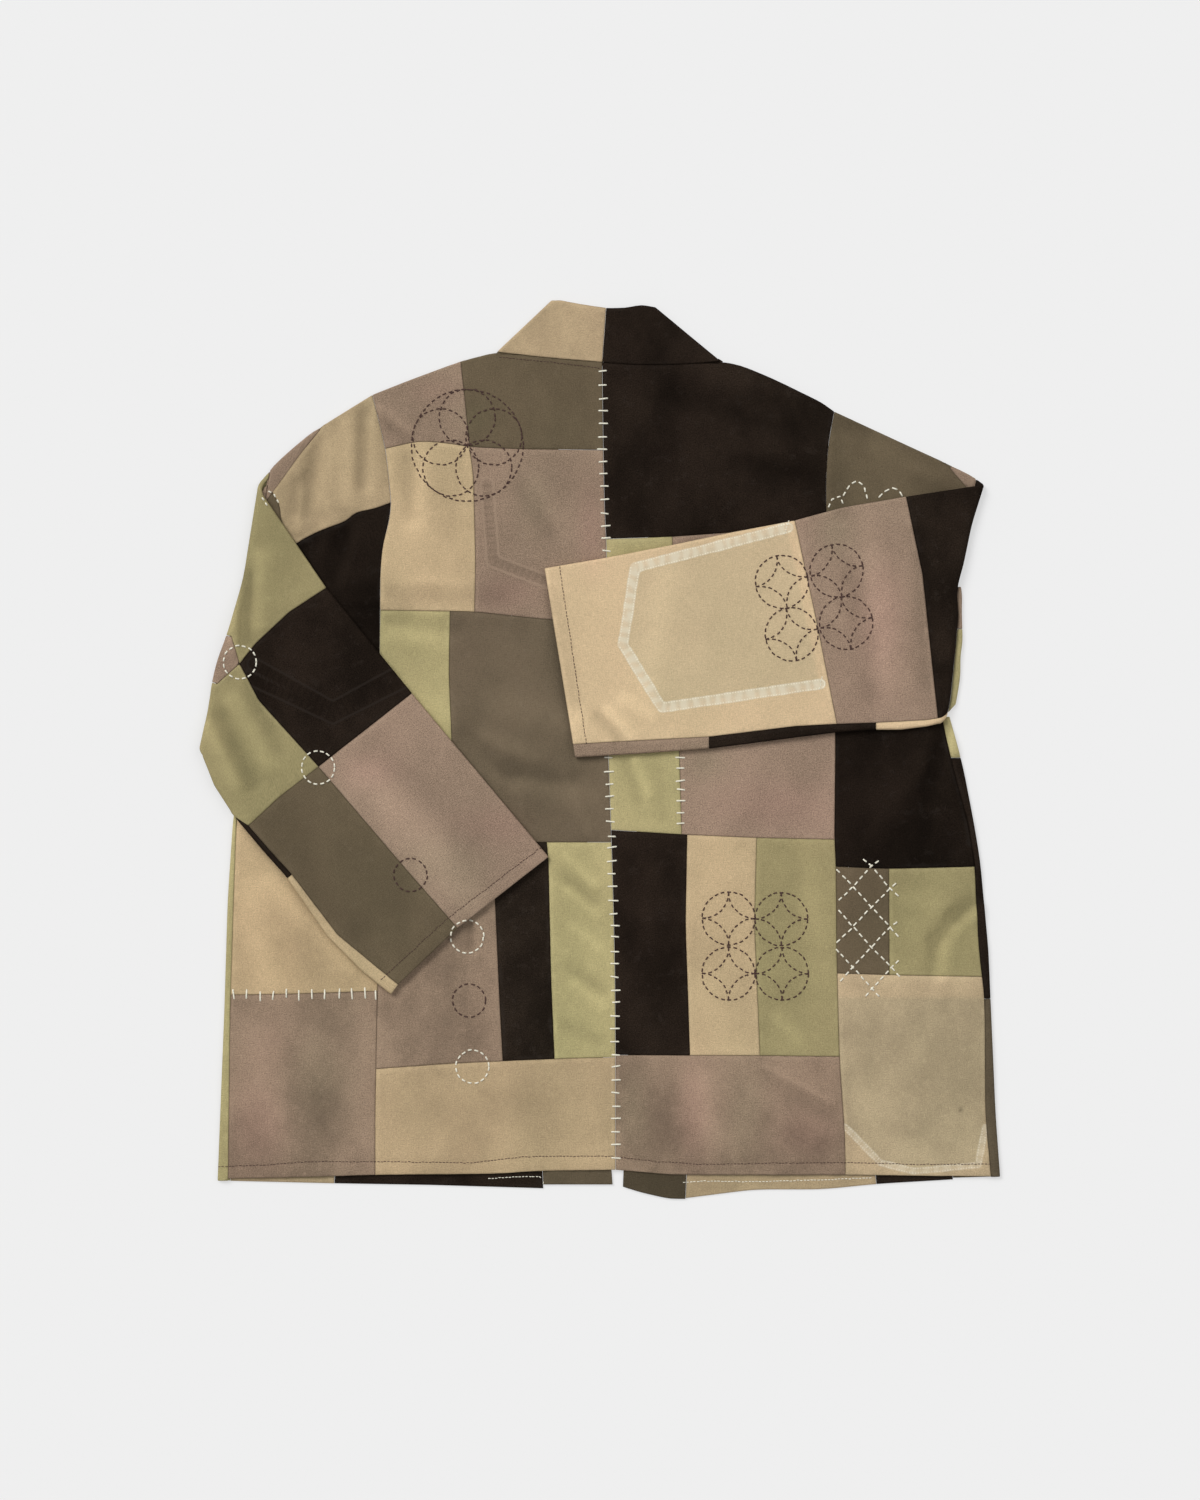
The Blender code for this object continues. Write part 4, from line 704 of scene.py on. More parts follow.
BODY = Flat(BODY_MID)
BAND = Flat(BAND_MID)
FOLD_LEFT = Fold(FOLD_L, np.array([-1.0, 0.0]))
FOLD_RIGHT = Fold(FOLD_R, np.array([1.0, 0.0]))


def between(line, start, end):
    """The stretch of a line between two distances along it."""
    low, high = min(start, end), max(start, end)
    lengths = arc_lengths(line)
    inner = [point for point, length in zip(line, lengths)
             if low + POINT_MARGIN < length < high - POINT_MARGIN]
    part = np.array([point_at(line, low)] + inner + [point_at(line, high)])
    return part if start <= end else part[::-1]


def inside_of(line, centre, distance):
    """The line moved towards the centre, as a list of points."""
    return [tuple(point) for point in moved_towards(curve(line), np.array(centre, dtype=float), distance)]


class Patch:
    """One piece of cloth: a fine lattice in plan or unfolded coordinates, with the sheet that each point is on."""

    def __init__(self, name, cloth, south, east, north, west, inside, base=BODY, sheet=BACK_SHEET,
                 wall=WALL, step=TOP_STEP):
        self.name = name + "_cloth"
        self.node = name
        self.cloth = cloth
        self.base = base
        self.wall = wall
        centre = np.array(inside, dtype=float)
        sides = [extended(moved_towards(eased(side), centre, SEAM_GAP / 2), REACH)
                 for side in (south, east, north, west)]
        south, east, north, west = sides
        south_west = crossing(south, west)
        south_east = crossing(south, east)
        north_west = crossing(north, west)
        north_east = crossing(north, east)
        south = between(south, south_west[0], south_east[0])
        north = between(north, north_west[0], north_east[0])
        west = between(west, south_west[1], north_west[1])
        east = between(east, south_east[1], north_east[1])
        self.step = step
        columns = grid_shares(south, north, step)
        rows = grid_shares(west, east, step)
        low = sample(south, columns)[:, None]
        high = sample(north, columns)[:, None]
        left = sample(west, rows)[None]
        right = sample(east, rows)[None]
        u = columns[:, None, None]
        v = rows[None, :, None]
        corners = ((1 - u) * (1 - v) * low[0, 0] + u * (1 - v) * low[-1, 0]
                   + (1 - u) * v * high[0, 0] + u * v * high[-1, 0])
        self.flat = (1 - v) * low + v * high + (1 - u) * left + u * right - corners
        self.sheet = np.full(self.flat.shape[:2], float(sheet))
        self.on = np.ones(self.flat.shape[:2], dtype=bool)

    def turn(self, side, back=False):
        """Turn the lattice so that a side lies last along the second axis, or turn it back."""
        across = side in ("east", "west")
        flipped = side in ("south", "west")
        for part in ("flat", "sheet", "on"):
            values = getattr(self, part)
            if back and flipped:
                values = values[:, ::-1]
            if across:
                values = values.swapaxes(0, 1)
            if flipped and not back:
                values = values[:, ::-1]
            setattr(self, part, values)

    def grow(self, flat, sheet, chosen):
        """Add lines of points outside the turned lattice's last side."""
        lines = flat.shape[1]
        self.flat = np.concatenate([self.flat, flat], axis=1)
        self.sheet = np.concatenate([self.sheet, sheet], axis=1)
        self.on = np.concatenate([self.on, np.repeat(chosen[:, None], lines, axis=1)], axis=1)

    def roll(self, side, landing=None, when=None):
        """Turn a side round the jacket's edge onto the other sheet, as far as a seam or by a lap."""
        self.turn(side)
        last = self.flat[:, -1]
        chosen = self.on[:, -1].copy()
        if when is not None:
            chosen &= np.array([bool(when(point)) for point in last])
        keys = np.flatnonzero(chosen)
        places = last[keys]
        order = np.arange(len(keys))
        normal = left_of(places[np.minimum(order + 1, order[-1])] - places[np.maximum(order - 1, 0)])
        course = places - self.flat[keys, -ROLL_COURSE]
        out = course / np.abs(np.sum(normal * course, axis=1))[:, None]
        half = self.base.half_gap(places[:, 1])
        back = -out / np.linalg.norm(out, axis=1)[:, None]
        if landing is None:
            width = np.full(len(keys), LAP)
        else:
            line = curve(landing)
            width = np.array([reach_to(place, step, line) for place, step in zip(places, back)])
        angles = np.pi * np.arange(1, ROLL_ROWS + 1) / ROLL_ROWS
        lap_rows = max(2, math.ceil(width.max() / self.step))
        shares = np.arange(1, lap_rows + 1) / lap_rows
        lines = ROLL_ROWS + lap_rows
        flat = np.zeros((len(last), lines, 2))
        sheet = np.zeros((len(last), lines))
        own = self.sheet[keys, -1]
        flat[keys, :ROLL_ROWS] = places[:, None] + out[:, None] * (half[:, None] * np.sin(angles))[..., None]
        sheet[keys, :ROLL_ROWS] = own[:, None] * np.cos(angles)
        reach = (width[:, None] - SEAM_GAP / 2) * shares
        flat[keys, ROLL_ROWS:] = places[:, None] + back[:, None] * reach[..., None]
        sheet[keys, ROLL_ROWS:] = -own[:, None]
        self.grow(flat, sheet, chosen)
        self.turn(side, back=True)
        return self

    def carry_round_fold(self, side, lean_first=0.0, lean_last=0.0):
        """Carry a side that lies on the fold's forearm edge round the fold and a little under it."""
        self.turn(side)
        last = self.flat[:, -1]
        stops = list(FOLD_LENGTH * (1 - np.arange(1, FOLD_ROWS + 1) / FOLD_ROWS))
        end = SEAM_GAP / 2 - FOLD_UNDER
        stops = np.array(stops + [end / 2, end])
        stations = last[:, 0]
        fade = min(LEAN_FADE, abs(stations[-1] - stations[0]))
        first_share = np.maximum(0.0, 1 - np.abs(stations - stations[0]) / fade)
        last_share = np.maximum(0.0, 1 - np.abs(stations - stations[-1]) / fade)
        leans = lean_first * first_share + lean_last * last_share
        flat = np.zeros((len(last), len(stops), 2))
        flat[..., 0] = stations[:, None] + leans[:, None] * (FOLD_LENGTH - stops)
        flat[..., 1] = stops
        sheet = np.repeat(self.sheet[:, -1:], len(stops), axis=1)
        self.grow(flat, sheet, np.ones(len(last), dtype=bool))
        self.turn(side, back=True)
        return self

    def build(self, shift):
        """Make the piece: a wall of cloth on its mid surface, with the relief of folds, seams and puckers."""
        on = self.on
        places = self.base.place(self.flat, self.sheet)
        to_edge = edge_distance(places, on)
        share = np.clip((places[..., 2] - WALL / 2) / (2 * HALF_BODY), 0.0, 1.0)
        x, y = places[..., 0], places[..., 1]
        raised = places[..., 2].copy()
        fine = ripple_height(x, y) + pucker_height(x, y, to_edge) + groove_height(x, y, raised)
        if self.sheet.max() > 0 or self.base is not BODY:
            fine = fine + pocket_relief(*nearest_line(x, y, self.node, POCKETS))
        lift = share * (crease_height(x, y) + fine)
        under_dents = UNDERSIDE_DENTS * np.maximum(fine, 0.0) * (share <= 0)
        places[..., 2] += lift + under_dents
        normals = lattice_normals(places, on)
        edge = np.clip(to_edge / SEAM_SHOULDER, 0.0, 1.0)
        half = self.wall / 2 * (SEAM_EDGE + (1 - SEAM_EDGE) * np.sqrt(edge * (2 - edge)))
        over = places + normals * half[..., None]
        under = places - normals * half[..., None]
        piece = wall_piece(self.name, over, under, on)
        used = point_used(on)
        fill_point_values(piece, "to_seam", np.tile(to_edge[used], 2))
        lay_weave(piece, places, on, shift)
        mark_cloth(piece, self.node, places[used])
        return piece

    def cut_size(self):
        """Width, length and area of the flat cut, in metres, from the lattice before its relief."""
        places = self.base.place(self.flat, self.sheet) * MM
        width, length = [lengths[point_used(self.on)].max() for lengths in thread_lengths(places, self.on)]
        cells = cloth_cells(self.on)
        one, other = places[1:, 1:] - places[:-1, :-1], places[:-1, 1:] - places[1:, :-1]
        area = np.linalg.norm(np.cross(one, other), axis=2)[cells].sum() / 2
        return width, length, area


def near_segments(x, y, line):
    """For each segment of a line: distance of plan points to it, where along it they are nearest, and its length."""
    for (ax, ay), (bx, by) in zip(line[:-1], line[1:]):
        dx, dy = bx - ax, by - ay
        share = np.clip(((x - ax) * dx + (y - ay) * dy) / (dx * dx + dy * dy), 0.0, 1.0)
        length = math.hypot(dx, dy)
        yield np.hypot(x - ax - share * dx, y - ay - share * dy), share * length, length


def distance_to_line(x, y, line):
    """Distance of plan points to a line of points."""
    return np.min([away for away, _, _ in near_segments(x, y, line)], axis=0)


def swell(x, y, size, seed):
    """A smooth irregular wave, about one unit high, with hollows about as far apart as size."""
    total = 0.0
    for k in range(WAVES):
        turn = seed + WAVE_TURN * k
        wave = 2 * math.pi / (size * (WAVE_LENGTH[0] + WAVE_LENGTH[1] * k))
        total = total + np.sin(wave * (x * math.cos(turn) + y * math.sin(turn)) + WAVE_SHIFT * k * seed)
    return total / (WAVES / 2)


def fold_height(x, y, folds):
    """Height of soft folds, each highest or deepest along its line."""
    total = np.zeros(np.shape(x))
    for start, end, width, height in folds:
        total += height * np.exp(-(distance_to_line(x, y, [start, end]) / width) ** 2 / 2)
    return total


def crease_height(x, y):
    """Height of all the jacket's folds, within their limits."""
    total = fold_height(x, y, CREASES + SOFT_FOLDS)
    return np.where(total < 0, DEEPEST * np.tanh(total / DEEPEST), HIGHEST * np.tanh(total / HIGHEST))


def ripple_height(x, y):
    """Shallow unevenness of cloth that lies loose."""
    return sum(height * swell(x, y, apart, seed) for height, apart, seed in RIPPLES)


def pucker_height(x, y, to_edge):
    """The valley at a seam, the allowance pressed beside it, and the small gathers along it."""
    height, wide = SEAM_VALLEY
    valley = height * np.exp(-(to_edge / wide) ** 2)
    height, away, wide = SEAM_ALLOWANCE
    allowance = height * np.exp(-((to_edge - away) / wide) ** 2)
    height, wide, apart, seed = SEAM_GATHERS
    return valley + allowance + height * np.exp(-(to_edge / wide) ** 2) * swell(x, y, apart, seed)


def groove_height(x, y, raised):
    """Rows of machine stitches pull the cloth down; the hem between them and the edge stands up a little."""
    total = np.zeros(np.shape(x))
    depth, narrow = ROW_GROOVE
    height, place, wide, apart, seed = ROW_HEM
    for line, low, high in GROOVES:
        away = distance_to_line(x, y, line)
        here = (raised > low) & (raised < high)
        total += here * (depth * np.exp(-(away / narrow) ** 2)
                         + height * np.exp(-((away - place) / wide) ** 2) * (1 + swell(x, y, apart, seed)))
    return total


def pocket_relief(distance, run):
    """Two pressed ridges where a pocket's edge was, with the small rungs that the seam left between them."""
    height, wide = POCKET_RIDGE
    ridges = height * np.exp(-((distance - RIDGE_AWAY) / wide) ** 2)
    height, wide, sinking = POCKET_RUNGS
    return ridges + height * np.exp(-(distance / wide) ** 2) * (np.sin(run * 2 * math.pi / RUNG_PITCH) - sinking)


def nearest_line(x, y, name, marks):
    """Distance to the nearest marked line of a piece, and the place along it."""
    distance, run = np.full(np.shape(x), FAR), np.zeros(np.shape(x))
    for begins, line in marks:
        if not name.startswith(begins):
            continue
        passed = 0.0
        for away, along, length in near_segments(x, y, line):
            nearer = away < distance
            distance = np.where(nearer, away, distance)
            run = np.where(nearer, passed + along, run)
            passed += length
    return distance, run


def run_lengths(places, on):
    """Distance along the first axis back to the start of each point's run of cloth."""
    steps = np.linalg.norm(np.diff(places, axis=0), axis=2)
    total = np.zeros(on.shape)
    for i in range(1, len(on)):
        total[i] = np.where(on[i] & on[i - 1], total[i - 1] + steps[i - 1], 0.0)
    return total


def thread_lengths(places, on):
    """The same distances along the first axis, and along the second."""
    return run_lengths(places, on), run_lengths(places.swapaxes(0, 1), on.T).T


def edge_distance(places, on):
    """Distance of each lattice point to the nearest edge of its piece, along the lattice."""
    back = thread_lengths(places[::-1, ::-1], on[::-1, ::-1])
    return np.minimum(np.minimum(*thread_lengths(places, on)), np.minimum(*back)[::-1, ::-1])


def tangents(places, on):
    """Sum of the unit steps before and after each lattice point, along the first axis."""
    steps = np.diff(places, axis=0)
    steps = steps / np.maximum(np.linalg.norm(steps, axis=2), TINY)[..., None]
    steps = steps * (on[1:] & on[:-1])[..., None]
    total = np.zeros(places.shape)
    total[:-1] += steps
    total[1:] += steps
    return total


def lattice_normals(places, on):
    """Unit normals of the lattice, upwards on the back sheet."""
    first = tangents(places, on)
    second = tangents(places.swapaxes(0, 1), on.T).swapaxes(0, 1)
    normals = np.cross(first, second)
    return normals / np.maximum(np.linalg.norm(normals, axis=2), TINY)[..., None]


def cloth_cells(on):
    """Cells whose four corners are all cloth."""
    return on[:-1, :-1] & on[1:, :-1] & on[1:, 1:] & on[:-1, 1:]


def point_used(on):
    """Points that a cell of cloth uses."""
    cells = cloth_cells(on)
    used = np.zeros(on.shape, dtype=bool)
    used[:-1, :-1] |= cells
    used[1:, :-1] |= cells
    used[1:, 1:] |= cells
    used[:-1, 1:] |= cells
    return used


def new_mesh(name, vertices, faces):
    mesh = bpy.data.meshes.new(name)
    mesh.from_pydata(vertices, [], faces)
    return mesh


def placed(name, data):
    """A new object in the scene."""
    made = bpy.data.objects.new(name, data)
    bpy.context.scene.collection.objects.link(made)
    return made


def wall_piece(name, over, under, on):
    """A closed wall of cloth between two lattices of points."""
    cells = cloth_cells(on)
    used = point_used(on)
    count = int(used.sum())
    number = np.full(on.shape, -1)
    number[used] = np.arange(count)
    corners = (number[:-1, :-1], number[1:, :-1], number[1:, 1:], number[:-1, 1:])
    ring = np.stack([corner[cells] for corner in corners], axis=1)
    faces = [ring, ring[:, ::-1] + count]
    padded = np.pad(cells, 1)
    beyond = (padded[1:-1, :-2], padded[2:, 1:-1], padded[1:-1, 2:], padded[:-2, 1:-1])
    for side in range(4):
        rim = cells & ~beyond[side]
        a, b = corners[side][rim], corners[(side + 1) % 4][rim]
        faces.append(np.stack([b, a, a + count, b + count], axis=1))
    places = np.concatenate([over[used], under[used]]) * MM
    mesh = new_mesh(name, places.tolist(), np.concatenate(faces).tolist())
    mesh.shade_smooth()
    mesh.set_sharp_from_angle(angle=math.radians(SHARP_DEG))
    return placed(name, mesh)


def fill_point_values(piece, name, values):
    attribute = piece.data.attributes.new(name, "FLOAT", "POINT")
    attribute.data.foreach_set("value", np.asarray(values, dtype=np.float32))


def lay_weave(piece, places, on, shift):
    """Texture coordinates along the threads of the piece."""
    lengths = np.stack(thread_lengths(places, on), axis=-1)[point_used(on)]
    weave = np.tile(lengths / WEAVE_UNIT + shift, (2, 1))
    corners = np.empty(len(piece.data.loops), dtype=np.int32)
    piece.data.loops.foreach_get("vertex_index", corners)
    layer = piece.data.uv_layers.new(name="weave")
    layer.data.foreach_set("uv", weave[corners].astype(np.float32).ravel())


# Lines that follow from the outlines: where the cloth starts to roll, and where a rolled lap ends
ROLL_INSET = HALF_BODY + WALL / 2
BAND_INSET = HALF_BODY + BAND_WALL / 2
ROLL_FOREARM = HALF_FOREARM + WALL / 2
BODY_CENTRE = (0, 0)
OUTSIDE_R = (400, 100)
SHOULDER_ROLL_L, SHOULDER_ROLL_R = [inside_of(line, BODY_CENTRE, ROLL_INSET) for line in (SHOULDER_L, SHOULDER_R)]
SHOULDER_LAP_L, SHOULDER_LAP_R = [inside_of(line, BODY_CENTRE, ROLL_INSET + LAP)
                                  for line in (SHOULDER_L, SHOULDER_R)]
SIDE_ROLL_L, SIDE_ROLL_R = [inside_of(line, BODY_CENTRE, ROLL_INSET) for line in (SIDE_L, SIDE_R)]
COLLAR_ROLL_L, COLLAR_ROLL_R = [inside_of(line, BODY_CENTRE, BAND_INSET) for line in (COLLAR_SIDE_L, COLLAR_SIDE_R)]
COLLAR_LAP_L, COLLAR_LAP_R = [inside_of(line, BODY_CENTRE, BAND_INSET + LAP)
                              for line in (COLLAR_SIDE_L, COLLAR_SIDE_R)]
ARM_ROLL_L, ARM_ROLL_R = [inside_of(line, BODY_CENTRE, ROLL_INSET) for line in (ARM_TOP_L, ARM_TOP_R)]
ARM_LAP_L, ARM_LAP_R = [inside_of(line, BODY_CENTRE, ROLL_INSET + LAP + EDGE_MARGIN)
                        for line in (ARM_TOP_L, ARM_TOP_R)]
FOLD_INNER_L = FOLD_LEFT.inner_line()
FOLD_INNER_R = FOLD_RIGHT.inner_line()
TUCK_INNER_R = inside_of(FOLD_R, OUTSIDE_R, TUCK_CLEARANCE)


def back_left():
    """The back's patches left of the centre seam."""
    top = joined(SHOULDER_ROLL_L, NECK_L)

    def on_shoulder(point):
        return point[0] < SHOULDER_ROLL_L[-1][0] + EDGE_MARGIN

    return [
        Patch("back_left_yoke_taupe", "taupe", YOKE_LINE_L, YOKE_SPLIT, SHOULDER_ROLL_L, PANEL_L,
              (-160, 305)).roll("north"),
        Patch("back_left_yoke_olive", "olive", YOKE_LINE_L, CENTRE, top, YOKE_SPLIT,
              (-60, 310)).roll("north", when=on_shoulder),
        Patch("back_left_tan", "tan", LINE_610, TAN_TAUPE, YOKE_LINE_L, PANEL_L, (-155, 200)),
        Patch("back_left_taupe", "taupe", LINE_610, CENTRE, YOKE_LINE_L, TAN_TAUPE, (-55, 200)),
        Patch("back_left_green", "green", LINE_842, GREEN_GREY, LINE_610, PANEL_L, (-165, 20)),
        Patch("back_left_grey_olive", "grey_olive", LINE_842, CENTRE, LINE_610, GREEN_GREY, (-60, 20)),
        Patch("back_left_side_tan", "tan", LINE_995, PANEL_L, ARM_LEVEL_L, SIDE_SEAM_L, (-260, -100)),
        Patch("back_left_side_taupe", "taupe", HEM_L, PANEL_L, LINE_995, SIDE_SEAM_L, (-265, -300)),
        Patch("back_left_middle_taupe", "taupe", LINE_1060, TAUPE_DARK, LINE_842, PANEL_L, (-145, -180)),
        Patch("back_left_dark", "dark", LINE_1060, DARK_GREEN, LINE_842, TAUPE_DARK, (-68, -180)),
        Patch("back_left_middle_green", "green", LINE_1060, CENTRE, LINE_842, DARK_GREEN, (-15, -180)),
        Patch("back_left_hem_tan", "tan", HEM_L, CENTRE, LINE_1060, PANEL_L, (-95, -330)),
    ]


def back_right():
    """The back's patches right of the centre seam."""
    top = joined(NECK_R[:-1] + SHOULDER_ROLL_R[:1], SHOULDER_ROLL_R)

    def on_shoulder(point):
        return point[0] > SHOULDER_ROLL_R[0][0] - EDGE_MARGIN

    return [
        Patch("back_right_dark", "dark", LINE_537, PANEL_R, top, CENTRE, (110, 270)).roll("north", when=on_shoulder),
        Patch("back_right_green", "green", LINE_835, GREEN_TAUPE, LINE_537, CENTRE, (40, 60)),
        Patch("back_right_taupe", "taupe", LINE_835, PANEL_R, LINE_537, GREEN_TAUPE, (140, 60)),
        Patch("back_right_low_dark", "dark", LINE_1056, DARK_TAN, LINE_835, CENTRE, (45, -175)),
        Patch("back_right_low_tan", "tan", LINE_1056, TAN_GREEN, LINE_835, DARK_TAN, (110, -175)),
        Patch("back_right_low_green", "green", LINE_1056, PANEL_R, LINE_835, TAN_GREEN, (178, -175)),
        Patch("back_right_hem_taupe", "taupe", HEM_R, PANEL_R, LINE_1056, CENTRE, (115, -330)),
        Patch("back_right_side_dark", "dark", LINE_867, SIDE_SEAM_R, ARM_LEVEL_R, PANEL_R, (270, -40)),
        Patch("back_right_side_olive", "olive", LINE_975, OLIVE_GREEN, LINE_867, PANEL_R, (236, -155)),
        Patch("back_right_side_green", "green", LINE_975, SIDE_SEAM_R, LINE_867, OLIVE_GREEN, (300, -155)),
        Patch("back_right_side_khaki", "khaki", HEM_R, SIDE_SEAM_R, LINE_975, PANEL_R, (280, -290)),
    ]


def side_strip(name, cloth, south, north, roll_line, front_line, seam, inside, side):
    """A front's side strip, which rolls round the jacket's side up to the back's side seam."""
    east, west = (front_line, roll_line) if side == "west" else (roll_line, front_line)
    strip = Patch(name, cloth, south, east, north, west, inside, sheet=FRONT_SHEET, step=SIDE_STEP)
    return strip.roll(side, landing=seam)


def fronts():
    """The two fronts, which lie on the surface under the back, and their bands."""
    armhole_l = joined(PANEL_L[:8], FRONT_SEAM_L)
    armhole_r = joined(PANEL_R[:6], FRONT_SEAM_R)
    flat = {"sheet": FRONT_SHEET, "step": HIDDEN_STEP}
    band = {"sheet": FRONT_SHEET, "step": HIDDEN_STEP, "base": BAND, "wall": BAND_WALL}
    return [
        side_strip("front_left_side_green", "green", SIDE_HEM_L, ARMPIT_L, SIDE_ROLL_L, FRONT_SIDE_L,
                   SIDE_SEAM_L, (-330, -200), "west"),
        Patch("front_left_tan", "tan", FRONT_HEM_L, FRONT_SEAM_L, ARM_LEVEL_L, FRONT_SIDE_L,
              (-270, -150), **flat),
        Patch("front_left_dark", "dark", FRONT_HEM_L, BAND_OUTER_L, SHOULDER_LAP_L, armhole_l,
              (-130, 0), **flat),
        Patch("front_left_band", "band_olive", BAND_HEM_L, BAND_INNER_L, COLLAR_LAP_L, BAND_OUTER_L,
              (-40, 0), **band),
        side_strip("front_right_side_green", "green", SIDE_GREEN_END_R, ARMPIT_R, SIDE_ROLL_R, FRONT_SIDE_R,
                   SIDE_SEAM_R, (310, 10), "east"),
        side_strip("front_right_side_dark", "dark", SIDE_DARK_END_R, SIDE_GREEN_END_R, SIDE_ROLL_R,
                   FRONT_SIDE_R, SIDE_SEAM_R, (330, -115), "east"),
        side_strip("front_right_side_olive", "band_olive", SIDE_HEM_R, SIDE_DARK_END_R, SIDE_ROLL_R,
                   FRONT_SIDE_R, SIDE_SEAM_R, (335, -300), "east"),
        Patch("front_right_dark", "dark", FRONT_HEM_R, FRONT_SIDE_R, ARM_LEVEL_R, FRONT_SEAM_R,
              (275, -150), **flat),
        Patch("front_right_tan", "tan", FRONT_HEM_R, armhole_r, SHOULDER_LAP_R, BAND_OUTER_R,
              (150, 0), **flat),
        Patch("front_right_band", "band_olive", BAND_HEM_R, BAND_OUTER_R, COLLAR_LAP_R, BAND_INNER_R,
              (55, 0), **band),
    ]


def collar():
    """The doubled collar, which turns down round its slanted sides into the front bands."""
    doubled = {"base": BAND, "wall": BAND_WALL}
    left = Patch("collar_left", "tan", NECK_L, COLLAR_CENTRE, COLLAR_TOP_L, COLLAR_ROLL_L, (-20, 375), **doubled)
    right = Patch("collar_right", "dark", NECK_R, COLLAR_ROLL_R, COLLAR_TOP_R, COLLAR_CENTRE, (35, 372), **doubled)
    return [left.roll("west"), right.roll("east")]


def upper_arms():
    """Both upper arms, between the armholes and the fold lines."""
    start_l, start_r = ARM_STRIP_L[0][0], ARM_STRIP_R[0][0]
    tan_top = list(ARM_STRIP_L[::-1]) + stretch(ARM_ROLL_L, start_l + BACK_TURN, ARM_TOP_L[0][0])
    front_top_l = (stretch(ARM_ROLL_L, ARM_TOP_L[-1][0], start_l - FRONT_TURN)
                   + stretch(ARM_LAP_L, start_l - EDGE_MARGIN, ARM_TOP_L[0][0]))
    olive_top_r = stretch(ARM_ROLL_R, ARM_TOP_R[0][0], start_r - BACK_TURN) + list(ARM_STRIP_R)
    front_top_r = (stretch(ARM_LAP_R, ARM_TOP_R[0][0], start_r + EDGE_MARGIN)
                   + stretch(ARM_ROLL_R, start_r + FRONT_TURN, ARM_TOP_R[-1][0]))
    front = {"sheet": FRONT_SHEET, "step": HIDDEN_STEP}
    return [
        Patch("sleeve_left_arm_tan", "tan", TAN_DARK_L, PANEL_L, tan_top, ARM_BIT_L,
              (-235, 240)).roll("north", when=lambda point: point[0] > start_l + BACK_TURN - EDGE_MARGIN),
        Patch("sleeve_left_arm_dark", "dark", ARM_LOW_L, PANEL_L, TAN_DARK_L, FOLD_INNER_L, (-250, 120)),
        Patch("sleeve_left_arm_olive", "olive", TAN_DARK_L, ARM_BIT_L, ARM_OLIVE_TOP_L, FOLD_INNER_L, (-297, 200)),
        Patch("sleeve_left_arm_front", "taupe", ARM_LOW_L, PANEL_L, front_top_l, FOLD_INNER_L, (-250, 150),
              **front).roll("north", landing=ARM_STRIP_L,
                            when=lambda point: point[0] < start_l - FRONT_TURN + EDGE_MARGIN),
        Patch("sleeve_right_arm_olive", "olive", ARM_LEVEL_R, FOLD_INNER_R, olive_top_r, PANEL_R,
              (260, 150)).roll("north", when=lambda point: point[0] < start_r - BACK_TURN + EDGE_MARGIN),
        Patch("sleeve_right_arm_front", "taupe", ARM_LEVEL_R, FOLD_INNER_R, front_top_r, PANEL_R, (260, 150),
              **front).roll("north", landing=ARM_STRIP_R,
                            when=lambda point: point[0] > start_r + FRONT_TURN - EDGE_MARGIN),
    ]


class Forearm:
    """A folded forearm: its edges as named lines in unfolded coordinates, and how they lean round the fold."""

    def __init__(self, fold, top_edges, low_edges, forearm_middle, arm_middle):
        self.fold = fold
        self.forearm_middle = forearm_middle
        self.arm_middle = arm_middle
        self.lines = {"fold": self.level_line(FOLD_LENGTH)}
        self.leans = {}
        for kind, lap in (("", 0.0), (" lap", LAP + LAP_EASE)):
            for edge, edges in (("top", top_edges), ("low", low_edges)):
                self.lines[edge + kind], self.leans[edge + kind] = self.edge_lines(edges, lap)

    def level_line(self, across):
        """A line at one unfolded distance across the fold, a little longer than the fold."""
        return [(station, across) for station in self.fold.stations]

    def edge_lines(self, edges, lap):
        """An edge's roll line in unfolded coordinates, and how it leans as it goes round the fold."""
        forearm_edge, arm_edge = edges
        forearm = self.fold.unfold_line(inside_of(forearm_edge, self.forearm_middle, ROLL_FOREARM + lap))
        arm = self.fold.unfold(inside_of(arm_edge, self.arm_middle, ROLL_INSET + lap), forearm=False)
        end = self.station_at(curve(forearm), FOLD_LENGTH)
        start = self.station_at(arm, -FOLD_UNDER)
        return forearm, (start - end) / (FOLD_LENGTH + FOLD_UNDER)

    def station_at(self, line, across):
        """Where a line passes one unfolded distance, as a station along the fold."""
        line = extended(line, 2 * REACH)
        return point_at(line, crossing(line, curve(self.level_line(across)))[0])[0]

    def patch(self, name, cloth, south, east, north, west, inside, step=TOP_STEP, sheet=FRONT_SHEET):
        """A piece between seams, given in plan, and the forearm's own lines, given by name."""
        sides = [self.lines[side] if isinstance(side, str) else self.fold.unfold_line(side)
                 for side in (south, east, north, west)]
        return Patch(name, cloth, *sides, self.fold.unfold([inside])[0], base=self.fold, sheet=sheet, step=step)

    def under(self, name, south, east, north, west, inside, side):
        """The forearm's lower layer, which goes round the fold under the other pieces."""
        layer = self.patch(name, "taupe", south, east, north, west, inside, sheet=BACK_SHEET, step=HIDDEN_STEP)
        return layer.carry_round_fold(side, self.leans["low lap"], self.leans["top lap"])


